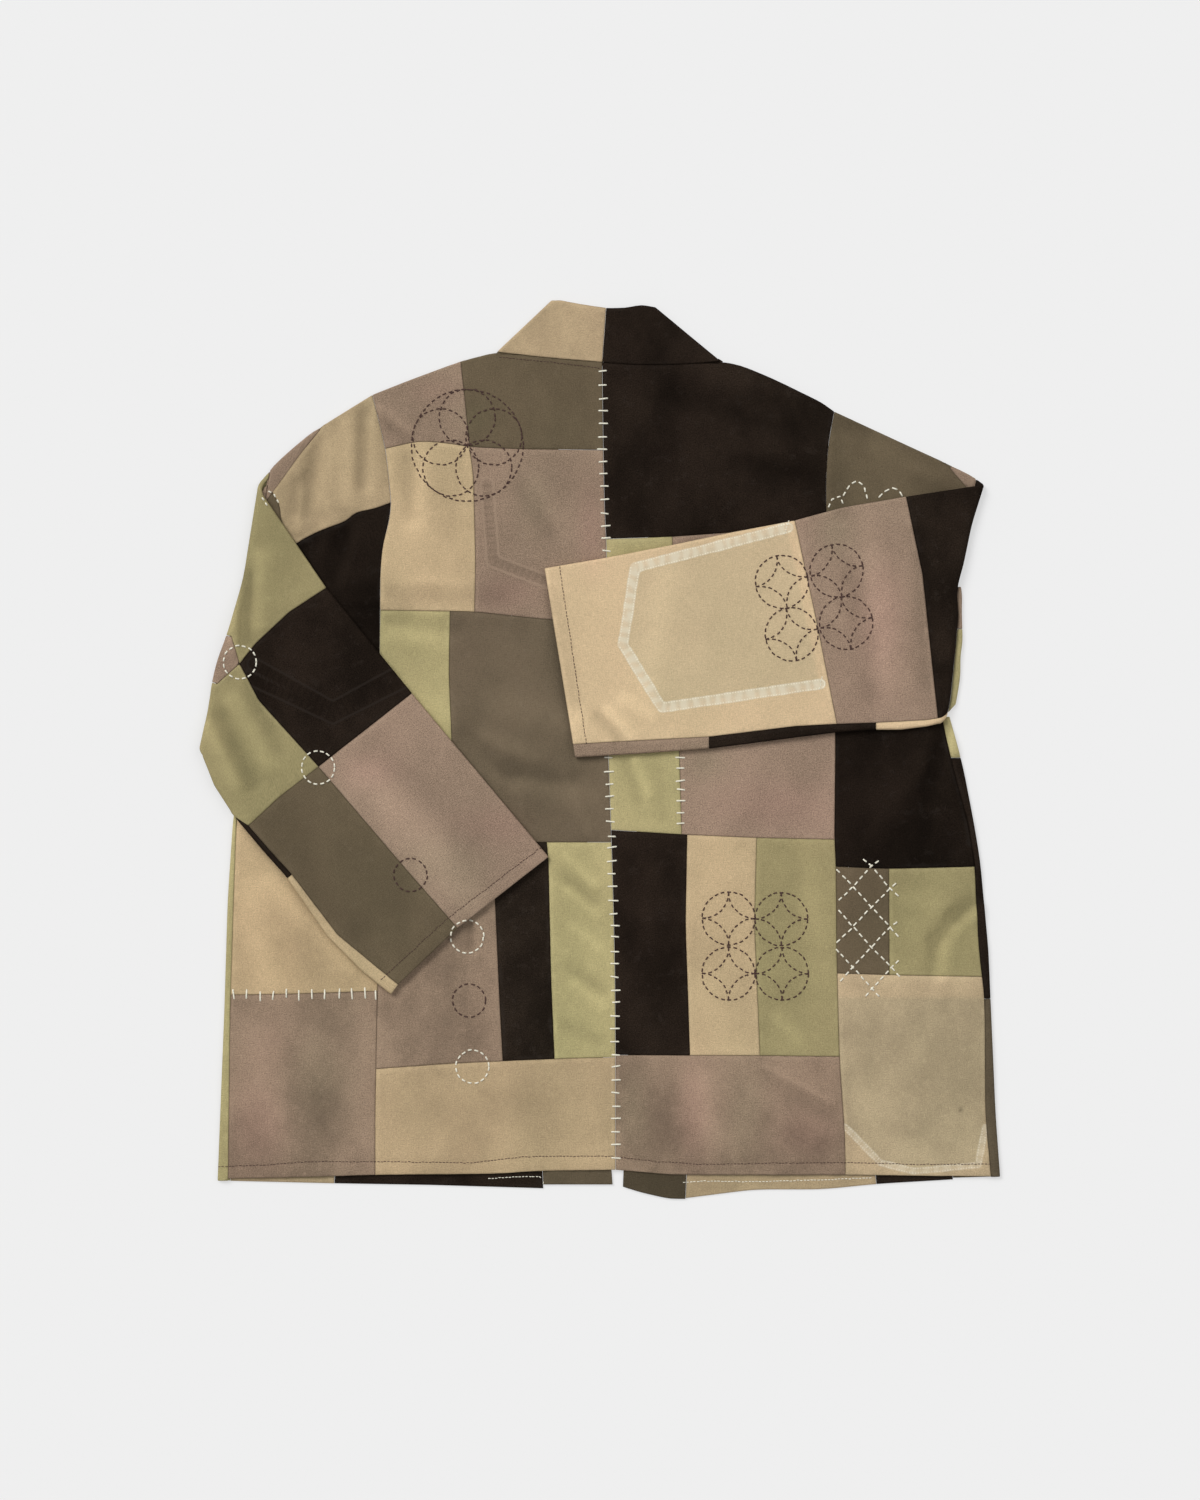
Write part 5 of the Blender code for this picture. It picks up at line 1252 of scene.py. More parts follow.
def left_forearm():
    """The left forearm: west is the fold, north its upper edge and south its lower edge."""
    arm = Forearm(FOLD_LEFT, (FOREARM_TOP_L, ARM_TOP_L), (FOREARM_LOW_L, UNDERARM_L), (-260, 20), (-290, 150))
    top, low = arm.leans["top"], arm.leans["low"]
    green_top = SMALL_LOW_L + LONG_SEAM_L[1:3]
    return [
        arm.patch("sleeve_left_green_upper", "green", SMALL_TOP_L, CROSS_SEAM_L, "top", "fold",
                  (-300, 150)).carry_round_fold("west", 0.0, top).roll("north"),
        arm.patch("sleeve_left_small_taupe", "taupe", SMALL_LOW_L, SMALL_END_L, SMALL_TOP_L, "fold",
                  (-335, 82)).carry_round_fold("west"),
        arm.patch("sleeve_left_green_lower", "green", "low", LOWER_SEAM_L[1:], green_top, "fold",
                  (-310, -10)).carry_round_fold("west", low, 0.0).roll("south"),
        arm.patch("sleeve_left_dark", "dark", LOWER_SEAM_L, "top", CROSS_SEAM_L, LONG_SEAM_L,
                  (-245, 60)).roll("east"),
        arm.patch("sleeve_left_taupe", "taupe", CUFF_L, "top", LOWER_SEAM_L, LONG_SEAM_L,
                  (-150, -60)).roll("east"),
        arm.patch("sleeve_left_olive", "olive", CUFF_L, LONG_SEAM_L, LOWER_SEAM_L[1:4], STRIP_SEAM_L,
                  (-230, -110)),
        arm.patch("sleeve_left_strip_dark", "dark", STRIP_SPLIT_L, STRIP_SEAM_L, LOWER_SEAM_L[3:], "low",
                  (-302, -87)).roll("west"),
        arm.patch("sleeve_left_strip_tan", "tan", CUFF_L, STRIP_SEAM_L, STRIP_SPLIT_L, "low",
                  (-235, -173)).roll("west"),
        arm.under("sleeve_left_under", "low lap", CUFF_L, "top lap", "fold", (-220, -60), "west"),
    ]


def right_forearm():
    """The right forearm: east is the fold, north its upper edge and south its lower edge."""
    arm = Forearm(FOLD_RIGHT, (FOREARM_TOP_R, ARM_TOP_R), (FOREARM_LOW_R, UNDERARM_R), (220, 110), (280, 150))
    top, low = arm.leans["top"], arm.leans["low"]
    return [
        arm.patch("sleeve_right_tan", "pale_tan", STRIP_SEAM_R, TAN_TAUPE_R, "top", CUFF_R,
                  (80, 100)).roll("north"),
        arm.patch("sleeve_right_taupe", "taupe", STRIP_SEAM_R, TAUPE_DARK_R, "top", TAN_TAUPE_R,
                  (245, 110)).roll("north"),
        arm.patch("sleeve_right_dark", "dark", STRIP_SEAM_R, "fold", "top", TAUPE_DARK_R,
                  (302, 170)).carry_round_fold("east", low, top).roll("north"),
        arm.patch("sleeve_right_strip_taupe", "taupe", "low", STRIP_END_R1, STRIP_SEAM_R, CUFF_R,
                  (40, 4)).roll("south"),
        arm.patch("sleeve_right_strip_dark", "dark", "low", STRIP_END_R2, STRIP_SEAM_R, STRIP_END_R1,
                  (170, 17)).roll("south"),
        arm.patch("sleeve_right_strip_tan", "pale_tan", "low", "fold", STRIP_SEAM_R, STRIP_END_R2,
                  (280, 23)).carry_round_fold("east", low, low).roll("south"),
        arm.under("sleeve_right_under", "low lap", "fold", "top lap", CUFF_R, (150, 100), "east"),
    ]


def tucks():
    """Two loops of the right upper arm that show past the fold."""
    roll_line = inside_of(TUCK_EDGE_R, BODY_CENTRE, ROLL_INSET)
    return [Patch(name, cloth, south, roll_line, north, TUCK_INNER_R, inside,
                  sheet=FRONT_SHEET).roll("east", landing=TUCK_INNER_R)
            for name, cloth, south, north, inside in (
                ("sleeve_right_tuck_taupe", "taupe", TUCK_MID_R, TUCK_TOP_R, (318, 115)),
                ("sleeve_right_tuck_green", "green", TUCK_LOW_R, TUCK_MID_R, (318, 65)))]


def within(x, y, line):
    """Whether points are inside a line that is closed from its end to its start."""
    inside = np.zeros(np.shape(x), dtype=bool)
    for (ax, ay), (bx, by) in zip(line, line[1:] + line[:1]):
        if ay != by:
            inside ^= ((ay > y) != (by > y)) & (x < ax + (y - ay) * (bx - ax) / (by - ay))
    return inside


def mark_cloth(piece, name, places):
    """Point values: the pinker places, the oil spot, the folds' height, and in millimetres the distances to a
    pocket's ghost, to the cloth that it kept dark, below zero inside it, and to pressed edges, and the places
    along them."""
    x, y = places[:, 0], places[:, 1]
    ghost, ghost_run = nearest_line(x, y, name, GHOSTS)
    unfaded = np.full(x.shape, FAR)
    for begins, line in UNFADED:
        if name.startswith(begins):
            unfaded = distance_to_line(x, y, line + line[:1])
            unfaded = np.where(within(x, y, line), -unfaded, unfaded)
    pocket, pocket_run = nearest_line(x, y, name, POCKETS)
    blush = np.zeros(x.shape)
    for (across, up), wide, tall, share in BLUSHES:
        blush += share * np.exp(-((x - across) / wide) ** 2 - ((y - up) / tall) ** 2)
    (across, up), half = OIL_SPOT
    oil = np.exp(-((x - across) ** 2 + (y - up) ** 2) / half ** 2)
    for kind, values in (("blush", blush), ("oil", oil), ("fold", fold_height(x, y, SOFT_FOLDS)), ("ghost", ghost),
                         ("ghost_run", ghost_run), ("unfaded", unfaded), ("pocket", pocket),
                         ("pocket_run", pocket_run)):
        fill_point_values(piece, kind, np.tile(values, 2))


def node(tree, kind, inputs=(), **settings):
    """A shader node with its settings, and its inputs given as values or as links."""
    made = tree.nodes.new(kind)
    for key, value in settings.items():
        setattr(made, key, value)
    for key, value in dict(inputs).items():
        if isinstance(value, bpy.types.NodeSocket):
            tree.links.new(value, made.inputs[key])
        else:
            made.inputs[key].default_value = value
    return made


def principled(name):
    """A new material and its shader."""
    material = bpy.data.materials.new(name)
    material.use_nodes = True
    return material, material.node_tree.nodes["Principled BSDF"]


def dress(tree, shader, colour, roughness, height, strength, distance):
    """Give a cloth's or a thread's shader its colour, roughness and relief."""
    bump = node(tree, "ShaderNodeBump", {"Strength": strength, "Distance": distance, "Height": height})
    tree.links.new(colour, shader.inputs["Base Color"])
    tree.links.new(roughness, shader.inputs["Roughness"])
    tree.links.new(bump.outputs[0], shader.inputs["Normal"])


def maths(tree, operation, first, second=0.0, third=0.0):
    return node(tree, "ShaderNodeMath", {0: first, 1: second, 2: third}, operation=operation).outputs[0]


def mixed(tree, share, first, second, blend="MIX"):
    made = node(tree, "ShaderNodeMix", {0: share, 6: first, 7: second}, data_type="RGBA", blend_type=blend)
    return made.outputs[2]


def ramp(tree, value, low, high, start=0.0, end=1.0):
    made = node(tree, "ShaderNodeMapRange", {0: value, 1: low, 2: high, 3: start, 4: end},
                interpolation_type="SMOOTHSTEP")
    return made.outputs[0]


def noise(tree, vector, scale, detail=2.0, roughness=0.5):
    return node(tree, "ShaderNodeTexNoise", {"Vector": vector, "Scale": scale, "Detail": detail,
                                             "Roughness": roughness}).outputs["Fac"]


def effect(name, takes, gives):
    """A node group with number inputs and outputs."""
    tree = bpy.data.node_groups.new(name, "ShaderNodeTree")
    for label, value in takes:
        socket = tree.interface.new_socket(label, in_out="INPUT", socket_type="NodeSocketFloat")
        socket.default_value = value
    for label in gives:
        tree.interface.new_socket(label, in_out="OUTPUT", socket_type="NodeSocketFloat")
    return tree, tree.nodes.new("NodeGroupInput").outputs, tree.nodes.new("NodeGroupOutput").inputs


def scaled(tree, vector, x, y, z=1.0):
    return node(tree, "ShaderNodeVectorMath", {0: vector, 1: (x, y, z)}, operation="MULTIPLY").outputs[0]


# Scales of the weave along its two threads, and of its flecks and its twill
WARP, WEFT, FLECKS = (120.0, 14.0), (18.0, 110.0), (95.0, 95.0)
TWILL = 45.0


def woven_cotton():
    """Threads, thick and thin, along both directions of the weave."""
    tree, takes, gives = effect("woven_cotton", [("Slub", 0.2), ("Fleck", 0.1)], ["Tone", "Height"])
    weave = node(tree, "ShaderNodeUVMap", uv_map="weave").outputs[0]
    warp = noise(tree, scaled(tree, weave, *WARP), 1.0, 3.0, 0.7)
    weft = noise(tree, scaled(tree, weave, *WEFT), 1.0, 3.0, 0.7)
    fleck = noise(tree, scaled(tree, weave, *FLECKS), 1.0, 4.0, 0.8)
    streak = maths(tree, "SUBTRACT", maths(tree, "ADD", warp, weft), 1.0)
    tone = maths(tree, "MULTIPLY_ADD", streak, takes["Slub"], 1.0)
    speck = maths(tree, "MULTIPLY", maths(tree, "SUBTRACT", fleck, 0.5), takes["Fleck"])
    tree.links.new(maths(tree, "ADD", tone, speck), gives["Tone"])
    bands = [node(tree, "ShaderNodeTexWave", {"Vector": weave, "Scale": TWILL, "Distortion": 1.2},
                  bands_direction=way).outputs["Fac"] for way in "XY"]
    threads = maths(tree, "MULTIPLY", bands[0], bands[1])
    height = maths(tree, "ADD", maths(tree, "MULTIPLY", threads, 0.35), maths(tree, "ADD", warp, weft))
    tree.links.new(height, gives["Height"])
    return tree


def point_value(tree, name):
    return node(tree, "ShaderNodeAttribute", attribute_name=name).outputs["Fac"]


def washed_and_shaded_cloth():
    """Large soft patches where the dye has gone, small rubbed spots, and the folds' painted shade in their valleys
    and their ridges' highlight, partly rubbed and partly painted.
    """
    tree, takes, gives = effect("washed_and_shaded_cloth", [("Size", 14.0)], ["Blotch", "Spots", "Pinker", "Fold", "Oil"])
    place = node(tree, "ShaderNodeTexCoord").outputs["Object"]
    blotch = noise(tree, scaled(tree, place, 1.0, 0.7), takes["Size"], 4.0, 0.62)
    tree.links.new(ramp(tree, blotch, 0.34, 0.66), gives["Blotch"])
    spots = noise(tree, place, 120.0, 3.0, 0.6)
    tree.links.new(ramp(tree, spots, 0.56, 0.72), gives["Spots"])
    drift = noise(tree, scaled(tree, place, 1.0, 0.6), 6.5, 3.0, 0.55)
    pinker = maths(tree, "MULTIPLY_ADD", maths(tree, "SUBTRACT", drift, 0.5), 1.5, point_value(tree, "blush"))
    tree.links.new(ramp(tree, pinker, -1.3, 1.3), gives["Pinker"])
    # The folds' height, for painted shade in their valleys and a partly rubbed, partly painted highlight on their
    # ridges
    tree.links.new(ramp(tree, point_value(tree, "fold"), -3.0, 3.0), gives["Fold"])
    tree.links.new(point_value(tree, "oil"), gives["Oil"])
    return tree


def seam_shade_and_wear():
    """Painted shade darkening the groove at each seam, and the rubbed ridge where the allowance stands up beside it.
    """
    tree, takes, gives = effect("seam_shade_and_wear", [("Reach", 6.0)], ["Groove", "Ridge"])
    away = point_value(tree, "to_seam")
    place = node(tree, "ShaderNodeTexCoord").outputs["Object"]
    uneven = noise(tree, place, 60.0, 3.0, 0.6)
    # Painted shade that darkens the cloth within a millimetre of each seam, along its groove
    tree.links.new(ramp(tree, away, 0.0, 0.9, 1.0, 0.0), gives["Groove"])
    rise = ramp(tree, away, 0.5, 1.5)
    fall = ramp(tree, away, 1.8, takes["Reach"], 1.0, 0.0)
    ridge = maths(tree, "MULTIPLY", maths(tree, "MULTIPLY", rise, fall), ramp(tree, uneven, 0.38, 0.66))
    tree.links.new(ridge, gives["Ridge"])
    return tree


def pocket_marks():
    """A pocket's ghost: a pale rippled band between two rows of needle holes, round cloth kept from the sun."""
    tree, takes, gives = effect("pocket_marks", [("Half width", 4.8)],
                                ["Pale", "Holes", "Inside", "Ridge", "Valley"])
    place = node(tree, "ShaderNodeTexCoord").outputs["Object"]
    ghost, run = point_value(tree, "ghost"), point_value(tree, "ghost_run")
    uneven = noise(tree, place, 55.0, 2.0, 0.6)
    ripple = maths(tree, "SINE", maths(tree, "MULTIPLY_ADD", run, 0.62, maths(tree, "MULTIPLY", uneven, 9.0)))
    wander = maths(tree, "MULTIPLY", maths(tree, "SUBTRACT", uneven, 0.5), 1.6)
    half = maths(tree, "ADD", takes["Half width"], wander)
    band = ramp(tree, maths(tree, "SUBTRACT", ghost, half), -0.5, 0.5, 1.0, 0.0)
    worn = maths(tree, "ADD", maths(tree, "MULTIPLY", ripple, 0.5), maths(tree, "MULTIPLY", uneven, 1.8))
    strength = ramp(tree, worn, 0.2, 1.5, 0.45, 1.0)
    tree.links.new(maths(tree, "MULTIPLY", band, strength), gives["Pale"])
    row = maths(tree, "ABSOLUTE", maths(tree, "SUBTRACT", ghost, maths(tree, "SUBTRACT", half, 1.1)))
    dash = ramp(tree, maths(tree, "SINE", maths(tree, "MULTIPLY", run, 2.6)), -0.2, 0.3)
    tree.links.new(maths(tree, "MULTIPLY", ramp(tree, row, 0.25, 0.7, 1.0, 0.0), dash), gives["Holes"])
    tree.links.new(ramp(tree, point_value(tree, "unfaded"), -4.0, 2.0, 1.0, 0.0), gives["Inside"])
    pocket, rung_run = point_value(tree, "pocket"), point_value(tree, "pocket_run")
    ridge = maths(tree, "ABSOLUTE", maths(tree, "SUBTRACT", pocket, RIDGE_AWAY))
    tree.links.new(ramp(tree, ridge, 0.3, 1.6, 1.0, 0.0), gives["Ridge"])
    rung = ramp(tree, maths(tree, "SINE", maths(tree, "MULTIPLY", rung_run, 0.98)), 0.1, 0.9)
    tree.links.new(maths(tree, "MULTIPLY", ramp(tree, pocket, 3.0, 5.0, 1.0, 0.0),
                         maths(tree, "MULTIPLY_ADD", rung, 0.6, 0.4)), gives["Valley"])
    return tree


WOVEN, WASHED_AND_SHADED, SEAM_SHADE_AND_WEAR, MARKS = woven_cotton(), washed_and_shaded_cloth(), seam_shade_and_wear(), pocket_marks()

# Shares of the cloth's own tone where it is greyer or pinker, darker with painted shade in a fold's valley, paler on
# a fold's ridge, partly rubbed and partly painted highlight, and unfaded by the sun; and the colours of a pocket's
# ghost and of its needle holes
GREYER, PINKER = (0.92, 0.99, 0.95, 1), (1.08, 1.0, 1.06, 1)
PAINTED_VALLEY_SHADE, RIDGE_RUB_AND_HIGHLIGHT = (0.78, 0.78, 0.78, 1), (1.2, 1.2, 1.2, 1)
UNFADED_SHADE = (0.84, 0.89, 0.90, 1)
PALE_GHOST, PALE_HOLES = (0.76, 0.69, 0.53, 1), (0.90, 0.84, 0.68, 1)

# No cloth is paler than this
PALEST = 0.9


def cloth(name, tone, slub=0.45, fleck=1.6, fade=0.14, ridge=0.35, lift=0.01, ghost=0.8, band=4.8, gloss=0.12):
    """Washed woven cotton in one tone, which fades by a share where it has been rubbed and laundered, with painted
    shade in its seams' grooves and its folds' valleys, and a partly rubbed, partly painted highlight on the folds'
    ridges.
    """
    material, shader = principled(name)
    tree = material.node_tree

    def part(group, **inputs):
        return node(tree, "ShaderNodeGroup", node_tree=group, inputs=inputs).outputs

    def shade(share, much=0.0):
        return (*[min(PALEST, value * share + much) for value in tone], 1)

    woven = part(WOVEN, Slub=slub, Fleck=fleck)
    washed_and_shaded = part(WASHED_AND_SHADED, Size=13.0)
    shade_and_wear = part(SEAM_SHADE_AND_WEAR, Reach=5.0)
    marks = part(MARKS, **{"Half width": band})
    colour = mixed(tree, washed_and_shaded["Blotch"], shade(1 - fade / 2), shade(1 + fade))
    colour = mixed(tree, maths(tree, "MULTIPLY", washed_and_shaded["Spots"], 0.35), colour, shade(1 + fade, 0.006))
    # Greyer or pinker from the dye, then painted shade in the folds' valleys and a partly rubbed, partly painted
    # highlight on their ridges
    for mask, low, high in ((washed_and_shaded["Pinker"], GREYER, PINKER), (washed_and_shaded["Fold"], PAINTED_VALLEY_SHADE, RIDGE_RUB_AND_HIGHLIGHT)):
        colour = mixed(tree, 1.0, colour, mixed(tree, mask, low, high), "MULTIPLY")
    colour = mixed(tree, washed_and_shaded["Oil"], colour, shade(0.45))
    grey = node(tree, "ShaderNodeCombineColor", {0: woven["Tone"], 1: woven["Tone"], 2: woven["Tone"]}).outputs[0]
    colour = mixed(tree, 1.0, colour, grey, "MULTIPLY")
    # Seams rubbed paler on their ridges and darkened with painted shade in their grooves, then the pocket marks and
    # ghost
    for mask, share, other in ((shade_and_wear["Ridge"], ridge, shade(1.3, 0.012)), (shade_and_wear["Groove"], 0.5, shade(0.45)),
                               (marks["Valley"], 0.45, shade(0.6)), (marks["Ridge"], 0.55, shade(1.2, lift)),
                               (marks["Inside"], 0.75, None), (marks["Pale"], ghost, PALE_GHOST),
                               (marks["Holes"], 0.9 * ghost, PALE_HOLES)):
        if other is None:
            other = mixed(tree, 1.0, colour, UNFADED_SHADE, "MULTIPLY")
        colour = mixed(tree, maths(tree, "MULTIPLY", mask, share), colour, other)
    dress(tree, shader, colour, ramp(tree, washed_and_shaded["Spots"], 0.0, 1.0, 0.95, 0.86), woven["Height"], 0.6, 0.0006)
    shader.inputs["Specular IOR Level"].default_value = gloss
    return material


def twisted_thread():
    """Fine strands along a thread, and places where it is soiled."""
    tree, takes, gives = effect("twisted_thread", [("Fineness", 900.0)], ["Twist", "Soiled"])
    place = node(tree, "ShaderNodeTexCoord").outputs["Object"]
    tree.links.new(noise(tree, place, takes["Fineness"], 2.0, 0.6), gives["Twist"])
    tree.links.new(ramp(tree, noise(tree, place, 45.0, 2.0, 0.5), 0.45, 0.75, 0.0, 0.35), gives["Soiled"])
    return tree


TWISTED = twisted_thread()


def thread(name, tone):
    """Twisted cotton thread."""
    material, shader = principled(name)
    tree = material.node_tree
    strands = node(tree, "ShaderNodeGroup", {"Fineness": 900.0}, node_tree=TWISTED).outputs
    twist = strands["Twist"]
    colour = mixed(tree, ramp(tree, twist, 0.35, 0.65), (*[value * 0.76 for value in tone], 1), (*tone, 1))
    colour = mixed(tree, strands["Soiled"], colour, (*[value * 0.72 for value in tone], 1))
    dress(tree, shader, colour, ramp(tree, twist, 0.0, 1.0, 0.6, 0.85), twist, 0.5, 0.0003)
    return material


CLOTHS = {
    "tan": cloth("cotton_tan", (0.505, 0.385, 0.224)),
    "arm_tan": cloth("cotton_arm_tan", (0.40, 0.305, 0.18)),
    "side_tan": cloth("cotton_side_tan", (0.48, 0.357, 0.205)),
    "hem_tan": cloth("cotton_hem_tan", (0.455, 0.34, 0.20)),
    "collar_tan": cloth("cotton_collar_tan", (0.465, 0.350, 0.210)),
    "pale_tan": cloth("cotton_pale_tan", (0.665, 0.50, 0.302), fade=0.04, fleck=1.1),
    "taupe": cloth("cotton_taupe", (0.292, 0.209, 0.146), slub=0.6, fleck=2.9),
    "pink_taupe": cloth("cotton_pink_taupe", (0.312, 0.222, 0.157), slub=0.6, fleck=2.9),
    "hem_taupe": cloth("cotton_hem_taupe", (0.262, 0.188, 0.129), slub=0.6, fleck=2.4, fade=0.3),
    "olive": cloth("cotton_olive", (0.131, 0.100, 0.060), ridge=0.15),
    "grey_olive": cloth("cotton_grey_olive", (0.146, 0.112, 0.071), ridge=0.15),
    "dark": cloth("cotton_dark", (0.0165, 0.0112, 0.0078), fleck=4.6, fade=0.5, ridge=0.25, lift=0.009, gloss=0.03),
    "deep_dark": cloth("cotton_deep_dark", (0.0105, 0.0072, 0.0050), fleck=4.6, fade=0.5, lift=0.009, gloss=0.03),
    "worn_dark": cloth("cotton_worn_dark", (0.0205, 0.0145, 0.0100), fleck=4.6, fade=0.5, lift=0.009, gloss=0.03),
    "green": cloth("cotton_green", (0.41, 0.356, 0.174)),
    "shaded_green": cloth("cotton_shaded_green", (0.318, 0.272, 0.134)),
    "light_green": cloth("cotton_light_green", (0.445, 0.388, 0.188)),
    "khaki": cloth("cotton_khaki", (0.46, 0.355, 0.216), fade=0.2, fleck=1.7, ghost=0.4, band=3.2),
    "band_olive": cloth("cotton_band_olive", (0.072, 0.056, 0.034), ridge=0.2),
    "strip_olive": cloth("cotton_strip_olive", (0.108, 0.084, 0.052), ridge=0.2),
}
TONES = {
    "back_left_hem_tan": "hem_tan", "collar_left": "collar_tan", "sleeve_left_arm_tan": "arm_tan",
    "back_left_side_tan": "side_tan", "sleeve_right_taupe": "pink_taupe", "back_right_taupe": "pink_taupe",
    "sleeve_left_taupe": "pink_taupe", "back_right_hem_taupe": "hem_taupe", "back_left_side_taupe": "hem_taupe",
    "back_left_middle_taupe": "hem_taupe", "sleeve_left_green_upper": "shaded_green",
    "sleeve_left_green_lower": "shaded_green", "back_right_low_green": "shaded_green",
    "back_right_side_green": "shaded_green", "sleeve_left_arm_dark": "deep_dark", "back_right_side_dark": "deep_dark",
    "back_left_dark": "worn_dark", "back_left_middle_green": "light_green",
    "front_left_tan": "arm_tan", "front_right_tan": "arm_tan", "front_left_band": "strip_olive",
    "front_right_side_olive": "strip_olive",
}


def make_cloth():
    """Every patch as a soft wall of its own cloth, in place of its solid."""
    patches = back_left() + back_right() + fronts() + collar() + upper_arms()
    patches += left_forearm() + right_forearm() + tucks()
    vertices, faces = [], []
    for number, patch in enumerate(patches):
        width, length, area = patch.cut_size()
        piece = patch.build(number * WEAVE_SHIFT)
        piece.data.materials.append(CLOTHS[TONES.get(patch.node, patch.cloth)])
        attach(piece, "root")
        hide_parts(patch.node)
        first = len(vertices)
        vertices += [tuple(point.co) for point in piece.data.vertices]
        faces += [[first + index for index in face.vertices] for face in piece.data.polygons]
    return BVHTree.FromPolygons(vertices, faces)


def make_allowances():
    """Seam allowances between the two layers, which show as a dark line where a seam opens a little."""
    for name, tone, outline in ALLOWANCES:
        count = len(outline)
        vertices = [(x * MM, y * MM, z * MM) for z in ALLOWANCE_LEVELS for x, y in outline]
        sides = [(k, (k + 1) % count, count + (k + 1) % count, count + k) for k in range(count)]
        mesh = new_mesh(name, vertices, [tuple(reversed(range(count))), tuple(range(count, 2 * count))] + sides)
        mesh.materials.append(CLOTHS[tone])
        weave = mesh.uv_layers.new(name="weave")
        for loop, place in zip(mesh.loops, weave.data):
            place.uv = mesh.vertices[loop.vertex_index].co.xy / (WEAVE_UNIT * MM)
        piece = placed(name, mesh)
        mark_cloth(piece, name, np.array([(x, y, ALLOWANCE_LEVELS[0]) for x, y in outline]))
        fill_point_values(piece, "to_seam", np.full(2 * count, FAR))
        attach(piece, "root")


# Thread: its sides, the places along a stitch, and how high the thread's middle lies there in thread radii
THREAD_SIDES = 6
STITCH_SHARES = (0.0, 0.12, 0.37, 0.63, 0.88, 1.0)
ARCH = np.array([-1.3, 0.25, 0.6, 0.6, 0.25, -1.3])

# How far a stitch may dip into a seam, how many of its places may miss the cloth, and how far it lies out of line
SEAM_DIP = 0.5
MOST_MISSES = 2
WANDER = 0.18

# Length of a stitch and of the gap after it
SASHIKO = (3.9, 1.9)
CREAM_STITCH = (4.6, 2.4)
MACHINE = (2.4, 0.7)

# Thread radii
BROWN_RADIUS = 0.60
CREAM_RADIUS = 0.74
FINE_RADIUS = 0.38
SEAM_RADIUS = 0.32
CREAM = thread("thread_cream", (0.93, 0.89, 0.74))
BROWN = thread("thread_brown", (0.070, 0.030, 0.022))

# Points along an arc of stitches
ARC_POINTS = 33

# A height in metres above all the cloth
ABOVE = 0.05


def surface_height(tree, x, y):
    """Height of the cloth's upper side at a plan point, or nought where there is no cloth."""
    hit = tree.ray_cast(Vector((x * MM, y * MM, ABOVE)), Vector((0, 0, -1)))
    return hit[0].z / MM if hit[0] is not None else 0.0


def stitches_along(line, stitch, gap, start=0.0):
    """Running stitches along a line: each a short list of plan points."""
    line = curve(line)
    total = arc_lengths(line)[-1]
    count = max(1, round((total - start + gap) / (stitch + gap)))
    pitch = (total - start + gap) / count
    stretches = [(start + pitch * k, start + pitch * (k + 1) - gap) for k in range(count)]
    return [[point_at(line, low + (high - low) * share) for share in STITCH_SHARES] for low, high in stretches]


def arc(centre, radius, first, last):
    """Points of an arc between two turns in degrees."""
    turns = np.radians(np.linspace(first, last, ARC_POINTS))
    return [(centre[0] + radius * math.cos(turn), centre[1] + radius * math.sin(turn)) for turn in turns]


def linked_circles(centre, radius, turn):
    """A circle crossed by the arcs of its four neighbours."""
    made = [arc(centre, radius, turn, turn + 360)]
    for corner in range(4):
        way = math.radians(turn + 45 + 90 * corner)
        middle = (centre[0] + radius * math.sqrt(2) * math.cos(way),
                  centre[1] + radius * math.sqrt(2) * math.sin(way))
        facing = turn + 225 + 90 * corner
        made.append(arc(middle, radius, facing - 45, facing + 45))
    return made


def rosette():
    """A ring with five petals that cross in its middle."""
    made = [arc(ROSETTE, ROSETTE_RADIUS, 0, 360)]
    half = ROSETTE_RADIUS / 2
    for petal in range(5):
        way = math.radians(90 + 72 * petal)
        made.append(arc((ROSETTE[0] + half * math.cos(way), ROSETTE[1] + half * math.sin(way)), half, 0, 360))
    return made


def sewn(name, stitches, radius, material, tree, seed):
    """Stitches as short arched threads whose ends go down into the cloth."""
    chance = np.random.default_rng(seed)
    vertices, faces = [], []
    turns = np.linspace(0, 2 * math.pi, THREAD_SIDES, endpoint=False)
    for path in stitches:
        path = np.array(path) + chance.normal(0, WANDER, 2)
        side = left_of(np.gradient(path, axis=0))
        heights = np.array([surface_height(tree, x, y) for x, y in path])
        if np.sum(heights <= 0) > MOST_MISSES:
            continue
        heights = np.maximum(heights, heights.max() - SEAM_DIP) + radius * ARCH
        first = len(vertices)
        for point, across, height in zip(path, side, heights):
            for turn in turns:
                plan = point + across * radius * math.cos(turn)
                vertices.append((plan[0] * MM, plan[1] * MM, (height + radius * math.sin(turn)) * MM))
        rows = len(path)
        for row in range(rows - 1):
            for k in range(THREAD_SIDES):
                a = first + row * THREAD_SIDES + k
                b = first + row * THREAD_SIDES + (k + 1) % THREAD_SIDES
                faces.append((a, a + THREAD_SIDES, b + THREAD_SIDES, b))
        faces.append(tuple(range(first, first + THREAD_SIDES)))
        faces.append(tuple(reversed(range(first + (rows - 1) * THREAD_SIDES, first + rows * THREAD_SIDES))))
    mesh = new_mesh(name, vertices, faces)
    mesh.shade_smooth()
    mesh.materials.append(material)
    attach(placed(name, mesh), "root")


def whip(x, y, dx, dy, chance):
    """One stitch across a seam, a little out of place, out of line and out of length."""
    x, y = x + chance.normal(0, WHIP_STRAY[0]), y + chance.normal(0, WHIP_STRAY[1])
    lean = chance.normal(0, WHIP_LEAN)
    half = np.array([dx - dy * lean, dy + dx * lean]) / 2 * chance.uniform(*WHIP_LENGTHS)
    return [np.array([x, y]) + half * (2 * share - 1) for share in STITCH_SHARES]


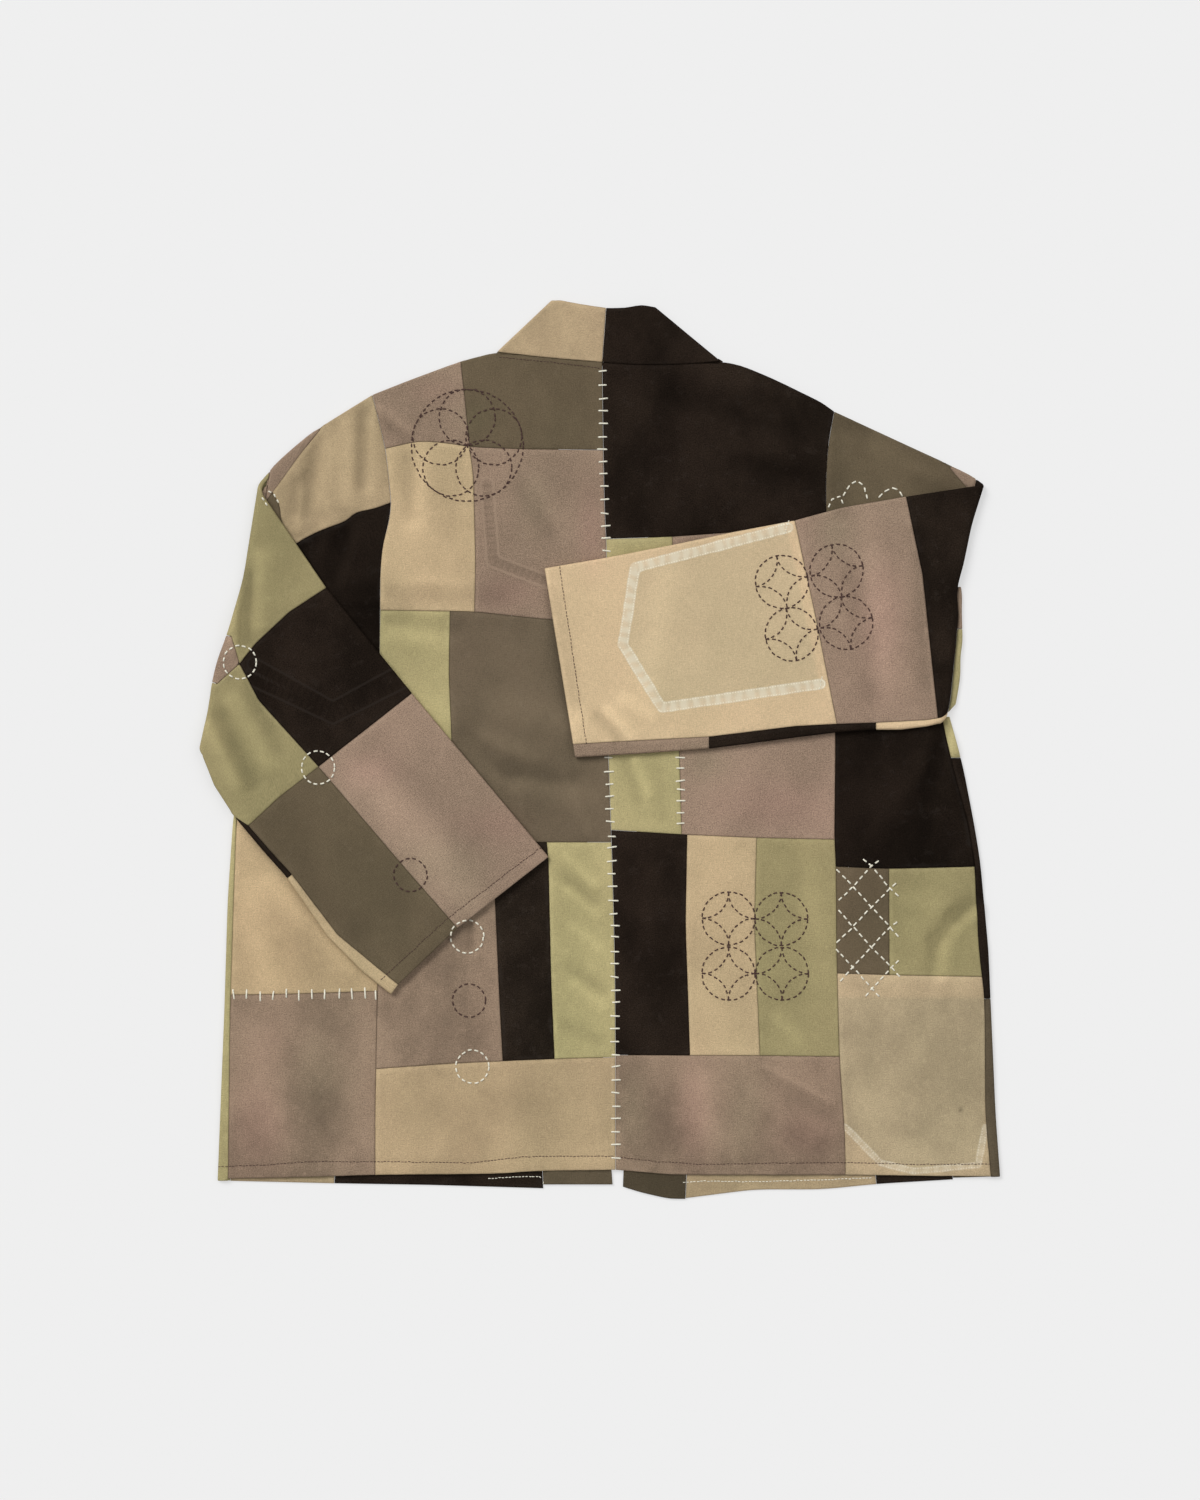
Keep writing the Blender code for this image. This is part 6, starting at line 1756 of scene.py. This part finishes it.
def make_stitches(tree):
    """All the stitching on the cloth, whose surface is given as a tree."""
    chance = np.random.default_rng(11)
    cream, fine, seams = [], [], []
    ornament = []
    for centres, turn in ((SHIPPO_BACK, 0), (SHIPPO_ARM, ARM_TURN)):
        for centre in centres:
            ornament += linked_circles(centre, SHIPPO_RADIUS, turn)
    ornament += rosette() + [arc(centre, RING_RADIUS, 0, 360) for centre in RINGS_BROWN]
    brown = [stitch for line in ornament for stitch in stitches_along(line, *SASHIKO)]
    for centre in RINGS_CREAM:
        cream += stitches_along(arc(centre, RING_RADIUS, 0, 360), *SASHIKO)
    for line in SCALLOPS + LATTICE:
        cream += stitches_along(line, *CREAM_STITCH)
    centre_line = curve(CENTRE)
    for level in WHIP_LEVELS:
        x = np.interp(-level, -centre_line[:, 1], centre_line[:, 0])
        cream.append(whip(x, level, WHIP_ACROSS, 0.0, chance))
    for level in WHIP_COLUMN:
        cream.append(whip(WHIP_COLUMN_AT, level, WHIP_ACROSS, 0.0, chance))
    for x in WHIP_ROW:
        cream.append(whip(x, WHIP_ROW_AT, 0.0, WHIP_DOWN, chance))
    for line in [BAND_STITCHES, FACING_STITCHES] + BAR_TACKS:
        fine += stitches_along(line, *MACHINE)
    for line in (HEM_LINE_L, HEM_LINE_R, CUFF_LINE_L, CUFF_LINE_R, NECK_LINE):
        seams += stitches_along(line, *MACHINE)
    sewn("stitches_brown", brown, BROWN_RADIUS, BROWN, tree, 3)
    sewn("stitches_cream", cream, CREAM_RADIUS, CREAM, tree, 5)
    sewn("stitches_fine", fine, FINE_RADIUS, CREAM, tree, 7)
    sewn("stitches_seam", seams, SEAM_RADIUS, BROWN, tree, 9)


# The floor: half its side and how far under the jacket it lies, in metres, and its own grey and glow
FLOOR_REACH = 6.0
FLOOR_DROP = 0.0005
FLOOR_GREY = 0.34
FLOOR_GLOW = 0.513

# Soft light: its strength, spread in degrees and the way that it shines
SKY = 0.33
SUNS = [("window_light", 2.15, 30, (0.62, -0.60, -0.85)), ("fill_light", 0.73, 50, (-0.7, -0.1, -1.0))]

# The camera looks straight down from this height in metres; lens and sensor are in millimetres
CAMERA_HEIGHT = 3.755
CAMERA_LENS = 100
CAMERA_SENSOR = 36


def make_floor():
    """A pale floor that the camera sees as evenly as the photo's."""
    corners = [(across * FLOOR_REACH, up * FLOOR_REACH, 0) for across, up in ((-1, -1), (1, -1), (1, 1), (-1, 1))]
    mesh = new_mesh("floor", corners, [(0, 1, 2, 3)])
    floor = placed("floor", mesh)
    floor.location.z = -FLOOR_DROP
    paper, shader = principled("pale_paper")
    shader.inputs["Base Color"].default_value = (FLOOR_GREY, FLOOR_GREY, FLOOR_GREY, 1)
    shader.inputs["Emission Color"].default_value = (1, 1, 1, 1)
    shader.inputs["Emission Strength"].default_value = FLOOR_GLOW
    shader.inputs["Roughness"].default_value = 0.95
    mesh.materials.append(paper)


def make_light():
    """An even sky, and two wide soft lamps."""
    world = bpy.data.worlds.new("studio")
    world.use_nodes = True
    world.node_tree.nodes["Background"].inputs[0].default_value = (1, 1, 1, 1)
    world.node_tree.nodes["Background"].inputs[1].default_value = SKY
    bpy.context.scene.world = world
    for name, strength, spread, way in SUNS:
        lamp = bpy.data.lights.new(name, "SUN")
        lamp.energy = strength
        lamp.angle = math.radians(spread)
        placed(name, lamp).rotation_euler = Vector(way).to_track_quat("-Z", "Y").to_euler()


def make_camera():
    """The camera looks straight down on the middle of the frame, as in the photo."""
    camera = bpy.data.cameras.new("camera")
    camera.lens = CAMERA_LENS
    camera.sensor_width = CAMERA_SENSOR
    camera_object = placed("camera", camera)
    camera_object.location = (0, 0, CAMERA_HEIGHT)
    bpy.context.scene.camera = camera_object
    bpy.context.scene.view_settings.view_transform = "Standard"


make_floor()
make_light()
make_camera()
make_stitches(make_cloth())
make_allowances()
